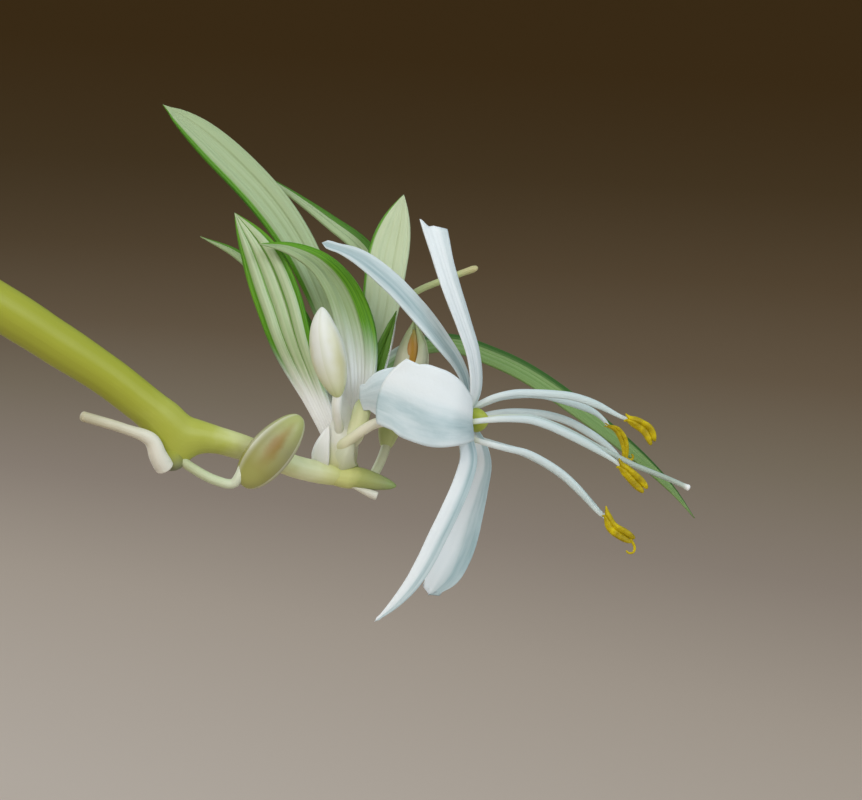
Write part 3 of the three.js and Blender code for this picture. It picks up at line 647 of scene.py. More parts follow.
def eased(profile, corners, radius, pieces=4):
    """Rounds the named corners of a profile with a quadratic curve of about the given radius."""
    made = []
    for i, (r, z) in enumerate(profile):
        if i not in corners:
            made.append((r, z))
            continue
        here = Vector((r, z))
        before, after = Vector(profile[i - 1]), Vector(profile[i + 1])
        start = here + (before - here).normalized() * min(radius, (before - here).length * 0.45)
        end = here + (after - here).normalized() * min(radius, (after - here).length * 0.45)
        for k in range(pieces + 1):
            t = k / pieces
            made.append(tuple((1 - t) ** 2 * start + 2 * t * (1 - t) * here + t * t * end))
    return made


class HOUSEPLANT_OT_pot(bpy.types.Operator):
    """Spins the clay pot with its collar and cuts the drain holes"""

    bl_idname = "houseplant.pot"
    bl_label = "Clay pot"

    def execute(self, context):
        height, collar = POT["height"], POT["height"] - POT["collar"]
        inside = lambda z: pot_body(z) - POT["wall"]
        profile = [
            (0, 0), (POT["base"], 0), (pot_body(collar), collar),
            (pot_body(collar) + POT["proud"], collar + 0.4), (POT["rim"], height), (inside(height), height),
            (inside(POT["floor"]), POT["floor"]), (0, POT["floor"]),
        ]
        bm = spun(eased(profile, corners=range(1, 7), radius=1.4), steps=144)
        for vert in bm.verts:
            wobble = 0.12 * MM * noise.noise(vert.co * 35)
            out = Vector((vert.co.x, vert.co.y, 0))
            if out.length > 0.02 and vert.co.z > 0.002:
                vert.co += out.normalized() * wobble
        pot = finish_piece("pot_clay", bm, fired_clay(), "pot")
        drill = bmesh.new()
        for i in range(POT["drains"]):
            angle = tau * i / POT["drains"]
            spot = Vector((cos(angle), sin(angle), 0)) * POT["drain_circle"] * MM
            bmesh.ops.create_cone(
                drill, cap_ends=True, segments=32, radius1=POT["drain"] * MM, radius2=POT["drain"] * MM,
                depth=3 * POT["floor"] * MM, matrix=Matrix.Translation(spot),
            )
        cutter = mesh_object("drill", drill)
        cut = pot.modifiers.new("drain holes", "BOOLEAN")
        cut.object, cut.operation, cut.solver = cutter, "DIFFERENCE", "EXACT"
        bpy.context.view_layer.objects.active = pot
        bpy.ops.object.modifier_apply(modifier=cut.name)
        bpy.data.objects.remove(cutter)
        pot.data.set_sharp_from_angle(angle=radians(40))
        return {"FINISHED"}


def soil_height(x, y):
    """The model's gently uneven compost, in millimetres."""
    return SOIL_LEVEL + SOIL_BUMP * (sin(0.31 * x + 1) * cos(0.27 * y) + 0.5 * sin(0.6 * y - 0.4 * x))


class HOUSEPLANT_OT_compost(bpy.types.Operator):
    """Fills the pot with compost and strews crumbs of bark and grit over it"""

    bl_idname = "houseplant.compost"
    bl_label = "Compost"

    def execute(self, context):
        floor = POT["floor"] + 0.3
        rim = pot_body(SOIL_LEVEL) - POT["wall"] - 0.25
        profile = [(0, floor), (pot_body(floor) - POT["wall"] - 0.3, floor), (rim, SOIL_LEVEL - 0.6)]
        profile += [(rim * i / SOIL_RINGS, SOIL_LEVEL) for i in range(SOIL_RINGS - 1, -1, -1)]
        bm = spun(profile, steps=160)
        for vert in bm.verts:
            x, y, z = vert.co / MM
            if z > SOIL_LEVEL - 0.1:
                lumps = [high * noise.noise(Vector((x, y, layer)) * fine) for layer, fine, high in SOIL_LUMPS]
                vert.co.z = (soil_height(x, y) + sum(lumps)) * MM
        finish_piece("compost_bed", bm, compost(), "soil")

        draw = random.Random(CRUMB_SEED)
        bm = new_bmesh("tint")
        tint = bm.verts.layers.float["tint"]
        for _ in range(settings().crumbs):
            angle, reach = draw.uniform(0, tau), (rim - 1.2) * sqrt(draw.uniform(0.06, 1))
            x, y = reach * cos(angle), reach * sin(angle)
            size = draw.uniform(0.35, 1.25) * (1.35 if draw.random() < 0.12 else 1)
            stretch = Matrix.Diagonal(
                (draw.uniform(0.8, 1.9), draw.uniform(0.6, 1.1), draw.uniform(0.35, 0.8), 1),
            )
            turn = Euler([draw.uniform(-0.5, 0.5), draw.uniform(-0.5, 0.5), draw.uniform(0, tau)]).to_matrix()
            spot = Matrix.Translation(Vector((x, y, soil_height(x, y) + 0.25 * size)) * MM)
            made = bmesh.ops.create_icosphere(
                bm, subdivisions=1, radius=size * MM, matrix=spot @ turn.to_4x4() @ stretch,
            )
            white = draw.random() < 0.1
            tone = draw.uniform(0.95, 1) if white else draw.uniform(0, 0.85)
            for vert in made["verts"]:
                vert.co += noise.noise_vector(vert.co * 900) * size * 0.28 * MM
                vert[tint] = tone
        closed(bm)
        crumbs = finish_piece("compost_crumbs", bm, crumb_finish(), "soil")
        crumbs.data.shade_flat()
        return {"FINISHED"}


# ------------------------------------------------------------------ mother rosette

ARCH_POINTS = ((1.5, -0.5, 66), (5, -1, 90), (17, -2.5, 121), (40, -5, 144), (72, -8, 151), (101, -10, 142))
TIP_POINTS = (
    (-23.7, 5.1, -9, 1.24), (-20.7, 3.2, -7.6, 1.17), (-17.8, 1.3, -6.2, 1.08), (-14.9, -0.9, -4.8, 1.06),
    (-13.4, -1.75, -4.2, 0.9), (-11.2, -2.35, -3.2, 0.72), (-8.9, -3.1, -2.2, 0.63),
    (-7.5, -3.65, -1.5, 0.61), (-6, -4, -0.9, 0.61), (-4.75, -4.15, -0.6, 0.58),
)
FOOT_RADIUS, ARCH_RADIUS = 1.7, 1.45


def stream(state):
    """A repeatable stream of numbers from 0 to 1, the one that the model draws from."""
    multiplier, modulus = 16807, 2**31 - 1
    while True:
        state = state * multiplier % modulus
        yield state / modulus


def leaf_spine(heading, start, length, rise, droop, sway):
    """One leaf's midrib: it climbs at `rise`, bends over and hangs at `droop` by its tip."""
    points, pieces = [], 8
    place = Vector((start[0] * cos(heading), start[0] * sin(heading), start[1]))
    for i in range(pieces + 1):
        points.append(place * MM)
        u = (i + 0.5) / pieces
        slope = radians(rise - (rise + droop) * u**1.25)
        way = heading + sway * u * u
        step = length / pieces
        level = step * cos(slope)
        place = place + Vector((level * cos(way), level * sin(way), step * sin(slope)))
    return points


def clear_of_runner(degrees):
    """A leaf's heading, moved to the side where it would grow into the runner at 0 degrees."""
    wrapped = (degrees + 540) % 360 - 180
    limit = ROSETTE["sector"]
    if abs(wrapped) >= limit:
        return wrapped
    return (-1 if wrapped < 0 else 1) * (limit + abs(wrapped) / 2)


def rosette_leaves():
    """The mother plant's leaves, innermost first, drawn as the model draws them."""
    numbers = stream(ROSETTE["seed"])
    leaves = []
    for i in range(ROSETTE["leaves"]):
        age = i / (ROSETTE["leaves"] - 1)
        vary = [next(numbers) - 0.5 for _ in range(5)]
        heading = radians(clear_of_runner(i * GOLDEN_ANGLE + FIRST_HEADING + 12 * vary[0]))
        length = mix(*ROSETTE["length"], age**0.6) * (1 + 0.14 * vary[1])
        rise = mix(*ROSETTE["rise"], age) + 8 * vary[2]
        droop = mix(*ROSETTE["droop"], age) + 14 * vary[3]
        start = (mix(1.5, 5, age), mix(CROWN_TOP - 3, CROWN_TOP - 7, age))
        inward = Vector((-cos(heading), -sin(heading), 0))
        leaves.append(
            {
                "spine": leaf_spine(heading, start, length, rise, droop, 0.5 * vary[4]),
                "facing": (inward, Vector((0, 0, 1)) - inward * 0.8),
                "width": mix(*ROSETTE["width"], age**0.5) * MM, "age": age,
            },
        )
    return leaves


MOTHER_EDGE = {"foot": 0.7, "shoulder": 0.4, "blunt": 1.7}
LEAF_NUMBERS = ("tint", "margin_low", "margin_high", "streaks", "lines", "shade", "dull", "foot_end")


class HOUSEPLANT_OT_rosette(bpy.types.Operator):
    """Grows the mother plant: a short crown and its arching variegated leaves"""

    bl_idname = "houseplant.rosette"
    bl_label = "Rosette"

    def execute(self, context):
        draw = random.Random(RIPPLE_SEED)
        bm = new_bmesh(*LEAF_NUMBERS)
        for leaf in rosette_leaves():
            waves, phase, depth = draw.uniform(1.5, 3.2), draw.uniform(0, 6), draw.uniform(0.03, 0.1)

            def relief(s, u, waves=waves, phase=phase, depth=depth):
                ripple = depth * sin(tau * waves * u + phase) * s * abs(s)
                ridges = 0.03 * cos(4 * pi * s)
                return ripple + ridges * smooth(u, 0, 0.1)

            add_blade(
                bm, leaf["spine"], leaf["facing"], leaf["width"], MOTHER_EDGE, along=40, across=12,
                fold=ROSETTE["fold"] * (1 + 0.6 * (1 - leaf["age"])), relief=relief, tint=draw.random(),
                margin_low=draw.uniform(0.24, 0.33), margin_high=draw.uniform(0.24, 0.33), streaks=1,
                foot_end=0.13,
            )
        material = variegated_leaf(
            "variegated strap leaf", (colours().margin_dark, colours().margin_light),
            ("#a9c777", colours().middle, "#eef0d8"), foot="#dfe6c4", ribs=9,
        )
        finish_piece("rosette_leaves", bm, material, "rosette", settings().leaf_thickness)

        profile = [(0, 60), (CROWN_RADIUS * 0.9, 60), (CROWN_RADIUS * 0.96, 70), (CROWN_RADIUS * 0.8, 75)]
        profile += [(CROWN_RADIUS * 0.45, 78), (0, CROWN_TOP)]
        bm = spun(eased(profile, corners=(2, 3, 4), radius=3), steps=64)
        bm.loops.layers.uv.new("UVMap")
        for vert in bm.verts:
            out = Vector((vert.co.x, vert.co.y, 0))
            if out.length > 0.001:
                turn = atan2(vert.co.y, vert.co.x)
                vert.co += out.normalized() * 0.35 * MM * sin(7 * turn + 90 * vert.co.z)
        stops = ((0, "#c9c28d"), (0.5, "#dfe0b8"), (1, "#b7cf86"))
        material = stalk_finish("pale crown tissue", stops, through=0.05)
        finish_piece("rosette_crown", bm, material, "rosette")
        return {"FINISHED"}


# ------------------------------------------------------------------ runner and its small parts


def runner_radius(knot):
    """The runner's radius in millimetres, read between the points it is drawn through."""
    last = len(ARCH_POINTS) - 1
    radii = [mix(FOOT_RADIUS, ARCH_RADIUS, i / last) for i in range(last + 1)]
    radii += [point[3] for point in TIP_POINTS]
    i = min(int(knot), len(radii) - 2)
    return mix(radii[i], radii[i + 1], smooth(knot - i, 0, 1))


class HOUSEPLANT_OT_runner(bpy.types.Operator):
    """Draws the runner from the crown to its flowering tip, with the knob at its first joint"""

    bl_idname = "houseplant.runner"
    bl_label = "Runner"

    def execute(self, context):
        points = [Vector(p) * MM for p in ARCH_POINTS] + seen_line(p[:3] for p in TIP_POINTS)
        probe = Path(points)
        bm = new_bmesh()
        add_tube(
            bm, points, lambda u: runner_radius(probe.knot(u)) * rounded(u, 0.003), around=32, along=480,
            section=lambda angle, u: 1 + 0.015 * cos(5 * angle) + 0.01 * sin(90 * u),
        )
        closed(bm)
        node, down = seen(KNOB[0]), (seen(KNOB[-1]) - seen(KNOB[0])).normalized()
        for vert in bm.verts:
            away = vert.co - node
            beside = (away - down * away.dot(down)).length / MM
            under = smooth(away.dot(down) / MM, -0.9, 0.7)
            vert.co += down * under * 1.3 * MM * exp(-((beside / 1.05) ** 2))
        stops = (
            (0, "#8fae4a"), (0.55, colours().runner), (0.94, "#aaae38"), (0.966, "#bcc05a"),
            (0.984, "#e6e9bc"), (1, "#d0d384"),
        )
        green = stalk_finish("fleshy runner stem", stops, mottle=0.03, grain=260)
        finish_piece("runner_stem", bm, green, "runner")

        stops = ((0, "#aaae38"), (0.6, "#a6ab40"), (0.82, "#8e925c"), (1, "#6f745c"))
        finish = stalk_finish("runner joint", stops, mottle=0.08)
        thick = lambda u: mix(0.8, 0.62, u) * rounded(u, 0.16)
        tube_piece("runner_joint", KNOB, thick, finish, "runner", "runner", around=24, along=24)
        return {"FINISHED"}


# What grows at the joints, as seen. Each bare stalk: its course, its radius along and its colours.
KNOB = ((-14.5, -1.3, -4.7), (-14.35, -2.4, -4.55), (-14.15, -3.9, -4.4))
BARE_STALKS = {
    "stalk_bare_lower": (
        (
            (-14.6, -3.8, -5), (-15, -3.1, -5.5), (-15.4, -2.2, -5.9), (-16.8, -1.6, -6.6),
            (-19.3, -0.85, -7.4),
        ),
        lambda u: mix(0.52, 0.28, smooth(u, 0.05, 0.6)),
        ((0, "#eceadd"), (0.3, "#eae7d8"), (0.6, "#dcd7c0"), (1, "#c4bd9f")),
    ),
    "stalk_bare_upper": (
        (
            (-5.2, -1.9, 1.65), (-5, 0.8, 3.6), (-4.2, 2.8, 4.4), (-2.8, 4.4, 4.5), (-0.9, 5.9, 4.4),
            (0.7, 6.6, 4.2), (2.6, 7.3, 4),
        ),
        lambda u: 0.19 + 0.02 * smooth(u, 0.94, 1),
        ((0, "#b9cf8c"), (0.6, "#c3cf95"), (0.9, "#b9bf86"), (1, "#cdbf8e")),
    ),
    "root_tip": (
        ((-4.9, -4.4, -0.8), (-4.3, -4.75, -0.8), (-3.6, -5.05, -0.75), (-2.95, -5.3, -0.7)),
        lambda u: mix(0.12, 0.24, smooth(u, 0.4, 0.85)),
        ((0, "#c9c9ac"), (0.5, "#d3d1bf"), (1, "#dcd9cc")),
    ),
}

# Each bract: its spine, the way it faces, its width, its edge and its colours.
BRACTS = {
    "bract_white": (
        ((-6.2, -4, -0.6), (-6.4, -3.35, -1), (-6.2, -2.5, -1.15), (-5.6, -1.4, -1.1)),
        (-0.75, -0.65, 0), 1.5,
        {"foot": 0.85, "shoulder": 0.3, "blunt": 1.8, "round": 0.1},
        ((0, "#e6e9cc"), (0.3, "#f6f7f2"), (1, "#ffffff")),
    ),
    "bract_front": (
        (
            (-4.9, -4.2, -0.3), (-4.95, -3.85, -1), (-4.8, -3.2, -1.5), (-4.45, -2.5, -1.6),
            (-4.3, -1.9, -1.3),
        ),
        (0, -1, 0), 1.9,
        {"foot": 1, "shoulder": 0.1, "blunt": 1.15, "round": 0.08},
        ((0, "#d3d898"), (0.3, "#e4e9c6"), (0.7, "#e9edd6"), (1, "#e3e6c2")),
    ),
}
SHEATH = ((-5.9, -4, -0.85), (-4.8, -4.2, -0.6), (-3.9, -4.3, -0.55), (-3, -4.5, -0.5), (-1.9, -4.75, -0.4))


class HOUSEPLANT_OT_small_stalks(bpy.types.Operator):
    """Adds the bare flower stalks, the first root, the bracts and the sheath at the runner's end"""

    bl_idname = "houseplant.small_stalks"
    bl_label = "Stalks and bracts"

    def execute(self, context):
        for name, (points, radius, stops) in BARE_STALKS.items():
            finish = stalk_finish(name.replace("_", " "), stops, mottle=0.1, grain=1500)
            thick = lambda u, radius=radius: radius(u) * rounded(u, 0.03)
            tube_piece(name + "_piece", points, thick, finish, name, "bare_stalk", along=60)
        for name, (points, way, width, edge, stops) in BRACTS.items():
            bm = new_bmesh()
            add_seen_blade(bm, points, (way, way), width, edge, along=24, across=14, fold=-0.6)
            finish = stalk_finish(name.replace("_", " "), stops, mottle=0.1, grain=1500, through=0.3)
            finish_piece(name + "_piece", bm, finish, name, 0.18 * MM)
        stops = ((0, "#d2d588"), (0.35, "#cfd184"), (0.5, "#a7ad64"), (0.8, "#949e66"), (1, "#88a05c"))
        tube_piece(
            "end_sheath_piece", SHEATH,
            lambda u: mix(0.5, 0.66, smooth(u, 0, 0.35)) * max(1 - u**2.4, 0) ** 0.6,
            stalk_finish("green sheath", stops), "end_sheath", "bract", around=24,
            section=lambda angle, u: 1 + 0.06 * cos(2 * angle),
        )
        return {"FINISHED"}


# ------------------------------------------------------------------ plantlet

YOUNG_EDGE = {"foot": 0.5, "shoulder": 0.45, "blunt": 1.8}
Leaf = namedtuple(
    "Leaf",
    "spine facing width fold margins shade edge streaks dull foot_end pleat lines",
    defaults=({}, 0.25, 0, 0.3, 0.035, 0),
)
# Each leaf as seen, foot to tip: its spine, the way its face looks at foot and tip, its width, how deep it is
# folded, the green margins on its two sides as shares of the width, and how deep its middle's green is. What
# follows has a default: its edge, how strong the pale streaks are, how dull its margins, how far its white
# foot reaches, how deep it is pleated, and how strong the green lines on it are.
PLANTLET_LEAVES = {
    "long_left": Leaf(
        (
            (-4.9, -1.8, 0.3), (-4.9, 1.5, 0.8), (-5.6, 4.6, 1.2), (-7.2, 8.3, 1.5), (-9.1, 11.05, 1.5),
            (-12.3, 14.25, 1.1), (-14.75, 16.25, 0.7),
        ),
        ((-0.3, -1, 0.2), (0.1, -0.9, 0.5)), 2.08, 0.22, (-0.1, 0.11), 0.45,
        edge={"shoulder": 0.7, "blunt": 3.4, "round": 0.05}, streaks=0.1, dull=0.12,
    ),
    "pleated": Leaf(
        (
            (-5.4, -2, -0.4), (-6.3, 0, -0.6), (-7.6, 3, -0.8), (-8.4, 5.5, -0.8), (-9.4, 8, -0.7),
            (-10.8, 10.3, -0.5),
        ),
        ((-0.3, -1, 0), (0, -1, 0.1)), 2.5, 0.15, (0.12, 0.13), 0.32,
        edge={"foot": 0.45, "shoulder": 0.6, "blunt": 2.4}, streaks=0.4, foot_end=0.36, pleat=0.1, lines=1,
    ),
    "arching": Leaf(
        (
            (-4.5, -1.8, -0.3), (-4, 0, -0.4), (-3.9, 1.9, -0.4), (-4.2, 4.1, -0.5), (-5, 6.1, -0.7),
            (-6.2, 7.5, -1), (-7.8, 8.3, -1.4), (-9.5, 8.6, -2),
        ),
        ((-0.2, -1, 0), (0.2, -0.9, 0.7)), 2.1, 0.3, (0.3, -0.1), 0.6, edge={"shoulder": 0.4, "blunt": 1.9},
        foot_end=0.52,
    ),
    "upright": Leaf(
        (
            (-4.3, -1.7, 0.5), (-3.7, 0, 1), (-3.2, 2.6, 1.5), (-2.8, 5, 1.8), (-2.3, 8.2, 2),
            (-1.5, 11.3, 1.8),
        ),
        ((0.1, -1, 0), (0, -1, 0.2)), 2.2, 0.2, (-0.1, 0.03), 0.1, edge={"shoulder": 0.72, "blunt": 2.3},
        streaks=0.12, foot_end=0.18,
    ),
    "behind": Leaf(
        (
            (-4.6, -1.7, 0.7), (-3.4, 1.6, 2.4), (-2.7, 5.3, 2.9), (-3.6, 8.1, 3.1), (-5.6, 9.8, 3.3),
            (-7.8, 11.4, 3.4), (-9.6, 12.6, 3.4),
        ),
        ((0, -1, 0), (0.4, -0.7, 0.6)), 1.25, 0.3, (0.3, -0.1), 0.5, dull=0.5,
    ),
    "low_left": Leaf(
        ((-5.2, -1.8, 0.4), (-6.1, 1.6, 1.6), (-8, 5.5, 2.3), (-10.5, 7.9, 2.5), (-12.7, 9, 2.5)),
        ((-0.4, -1, 0), (0.3, -0.8, 0.6)), 1.2, 0.3, (0.42, -0.1), 0.6, dull=0.3,
    ),
    "long_right": Leaf(
        (
            (-4.3, -1.7, 0.6), (-4.1, 0, 3.5), (-2.8, 1.7, 4.9), (-0.7, 2.9, 5.5), (1.1, 3.1, 5.6),
            (3.2, 2.4, 5.6), (5.1, 1.5, 5.5), (7.5, -0.1, 5.3), (11.2, -3, 4.7), (13.2, -4.9, 4.4),
            (14.5, -6.5, 4.2),
        ),
        ((0.4, -0.9, 0.3), (0.4, -0.6, 0.5)), 1.35, 0.25, (-0.1, 0.22), 0.95,
        edge={"shoulder": 0.6, "blunt": 2.2}, dull=0.85,
    ),
    "folded": Leaf(
        ((-4.2, -1.7, 0.2), (-3.5, 0.2, 0.3), (-2.9, 2.3, 0.4), (-1.9, 4.9, 0.5)),
        ((0.2, -1, 0), (0.6, -1, 0)), 0.95, 0.9, (-0.1, -0.1), 0.97, edge={"shoulder": 0.5, "blunt": 2},
        streaks=0, foot_end=0.1,
    ),
}
SIDE_SHOOT = ((-4.4, -2.6, -0.7), (-4.15, -1.8, -1), (-3.9, -1, -1), (-3.7, 0.1, -0.7))
PLANTLET_CROWN = ((-5.1, -4, -0.4), (-5, -2.8, -0.3), (-4.85, -1.4, -0.2), (-4.7, 0, 0.1), (-4.6, 1.2, 0.5))


class HOUSEPLANT_OT_plantlet(bpy.types.Operator):
    """Grows the young plantlet at the runner's end: its white crown and its leaves"""

    bl_idname = "houseplant.plantlet"
    bl_label = "Plantlet"

    def execute(self, context):
        bm = new_bmesh(*LEAF_NUMBERS)
        for i, leaf in enumerate(PLANTLET_LEAVES.values()):
            low, high = leaf.margins

            def relief(s, u, pleat=leaf.pleat):
                open_share = smooth(u, 0.12, 0.4) * (1 - 0.6 * smooth(u, 0.75, 1))
                return pleat * cos(3.5 * pi * s) * open_share

            add_seen_blade(
                bm, leaf.spine, leaf.facing, leaf.width, {**YOUNG_EDGE, **leaf.edge}, along=48, across=20,
                fold=leaf.fold, relief=relief, tint=0.13 * i, margin_low=low, margin_high=high,
                **{name: getattr(leaf, name) for name in LEAF_NUMBERS[3:]},
            )
        greens, pales = ("#478a10", "#7cb824"), ("#a9c584", "#cbdcae", "#e6efcf")
        name = "young variegated leaf"
        material = variegated_leaf(name, greens, pales, foot="#ffffff", ribs=8, through=0.3)
        finish_piece("plantlet_leaves", bm, material, "plantlet", settings().young_thickness)

        stops = ((0, "#d9dc92"), (0.14, "#e3e5bc"), (0.3, "#f3f4e8"), (1, "#ffffff"))
        tube_piece(
            "plantlet_crown", PLANTLET_CROWN,
            lambda u: (1 + 0.2 * sin(pi * u) - 0.5 * u) * rounded(u, 0.12) * (1 - u**3) ** 0.6,
            stalk_finish("white crown", stops, through=0.25), "plantlet", "young_leaf", around=28, along=28,
            section=lambda angle, u: 1 + 0.06 * cos(3 * angle + 4 * u),
        )
        stops = ((0, "#eff1da"), (0.5, "#e1e4b4"), (1, "#ced69a"))
        finish = stalk_finish("pale side shoot", stops)
        thick = lambda u: 0.5 * rounded(u, 0.3)
        tube_piece("plantlet_side_shoot", SIDE_SHOOT, thick, finish, "plantlet", "young_leaf", along=24)
        return {"FINISHED"}


# ------------------------------------------------------------------ buds

Bud = namedtuple("Bud", "stalk axis radius form stem skin seam stripe")
# Each bud as seen: its stalk and its own axis from foot to tip, its greatest radius and how that swells,
# the colours along its stalk and its skin, its seams' colour and strength (pale on the lower bud, where the
# seams are partly a painted highlight), and its stripe's numbers.
BUDS = {
    "bud_lower": Bud(
        (
            (-13.9, -3.2, -4.5), (-13.2, -3.7, -4.5), (-11.9, -4.4, -4.6), (-10.9, -4.6, -4.6),
            (-10.5, -4.1, -4.7), (-10.2, -3.2, -4.4),
        ),
        ((-10.4, -4.7, -4.35), (-8.77, -2.8, -4.33), (-7.15, -0.9, -4.3)), 1.18, (0.88, 0.45),
        ("#b9bf94", "#cbd4b0", "#e6e8da"),
        # Its pale, strong seams are partly real seams and partly a painted highlight along its lit upper
        # left.
        ((0, "#b3b568"), (0.25, "#a3a05a"), (0.6, "#a2a070"), (1, "#b6bc78")), ("#dddcc4", 0.7),
        ("#94681a", 0.65, 0, (0.2, 1), 0.22),
    ),
    "bud_white": Bud(
        ((-4.9, -2.2, -0.5), (-5.1, -1.3, -1.4), (-5.2, -0.4, -2.2), (-5.12, 0.5, -2.6)),
        (
            (-5.1, 0.1, -2.6), (-5.3, 1, -2.7), (-5.53, 1.95, -2.8), (-5.72, 2.85, -2.9), (-5.93, 4, -3),
            (-6, 5.12, -3),
        ),
        0.96, (0.95, 0.62), ("#e8ecd8", "#f3f4ec", "#f6f7f2"),
        ((0, "#d3dba0"), (0.2, "#e4e6cc"), (0.5, "#eceee8"), (1, "#eff0ea")), ("#b7c084", 0.2),
        ("#cdc994", 0.8, 0.68, (-0.3, 1.1), 0.36),
    ),
    "bud_spent": Bud(
        ((-3.3, -4.3, 0.6), (-3.03, -3.9, 1.1), (-2.6, -2.95, 1.5), (-2.4, -2.2, 1.8), (-2.35, -1.5, 1.8)),
        ((-2.5, -2.75, 1.8), (-2.35, -1.9, 1.8), (-1.9, 0, 1.8), (-1.3, 1.9, 1.8), (-0.95, 3.9, 1.8)),
        0.78, (0.88, 0.45), ("#d5dcb4", "#e0e5c8", "#dfe5bc"),
        ((0, "#d3dfa0"), (0.3, "#c3ce7c"), (0.6, "#c1922f"), (0.88, "#b8862c"), (1, "#98924c")),
        ("#8f8f5c", 0.15), ("#a86a1a", 0.6, 0.2, (0.5, 1.1), 0.26),
    ),
}
# The withered tepals that still stand round the spent flower: spine, facing, width.
WITHERED = (
    (
        ((-2.5, -2.2, 1.5), (-2.35, -0.5, 1.1), (-1.75, 1.7, 1.1), (-1.5, 2.9, 1.4), (-1, 4.3, 1.7)),
        (-0.5, -1, 0), 0.95,
    ),
    (
        ((-2.3, -2.2, 1.5), (-1.6, -0.5, 1.2), (-0.7, 1.5, 1.2), (-0.45, 2.7, 1.4), (-0.85, 4.2, 1.7)),
        (0.5, -1, 0), 0.7,
    ),
    (
        ((-2.4, -2.2, 2.2), (-1.9, -0.5, 2.6), (-1, 1.7, 2.6), (-0.8, 3, 2.4), (-0.95, 4.4, 1.9)),
        (0, 1, 0), 1.7,
    ),
)


class HOUSEPLANT_OT_buds(bpy.types.Operator):
    """Adds the two closed buds and the withered flower on their stalks"""

    bl_idname = "houseplant.buds"
    bl_label = "Buds"

    def execute(self, context):
        for name, bud in BUDS.items():
            low, full = bud.form
            tube_piece(
                name + "_body", bud.axis,
                lambda u: bud.radius * abs(sin(pi * min(max(u, 0), 1) ** low)) ** full,
                bud_finish(name.replace("_", " ") + " skin", bud.skin, bud.seam, *bud.stripe),
                name, "bud", around=36, along=48,
                section=lambda angle, u: 1 - 0.03 * abs(cos(1.5 * angle + 0.4)) ** 6, normal=TO_EYE,
            )
            pale = stalk_finish("bud stalk", tuple(zip((0, 0.5, 1), bud.stem)))
            tube_piece(
                name + "_stalk", bud.stalk, lambda u: 0.27 * rounded(u, 0.06), pale, name, "bud", along=36,
            )

        bm = new_bmesh()
        edge = {"foot": 0.45, "shoulder": 0.5, "blunt": 2.2}
        relief = lambda s, u: 0.08 * sin(9 * u + 3 * s) * smooth(u, 0.4, 1)
        for spine, way, width in WITHERED:
            add_seen_blade(bm, spine, (way, way), width, edge, across=14, fold=-0.4, relief=relief)
        stops = ((0, "#a3b35a"), (0.35, "#bcc48a"), (0.7, "#d3d2b4"), (0.9, "#b3bb88"), (1, "#a0ac74"))
        dry = stalk_finish("withered tepal", stops, through=0.15, mottle=0.08, grain=1400)
        finish_piece("bud_spent_tepals", bm, dry, "bud_spent", 0.14 * MM)
        return {"FINISHED"}


# ------------------------------------------------------------------ flower

TEPAL_EDGE = {"foot": 0.4}
TEPAL_NUMBERS = ("tint", "band_middle", "band_reach", "blueness")
Tepal = namedtuple(
    "Tepal", "spine facing width fold ridges band edge notch bowed ruffled", defaults=(0, 0, 0),
)
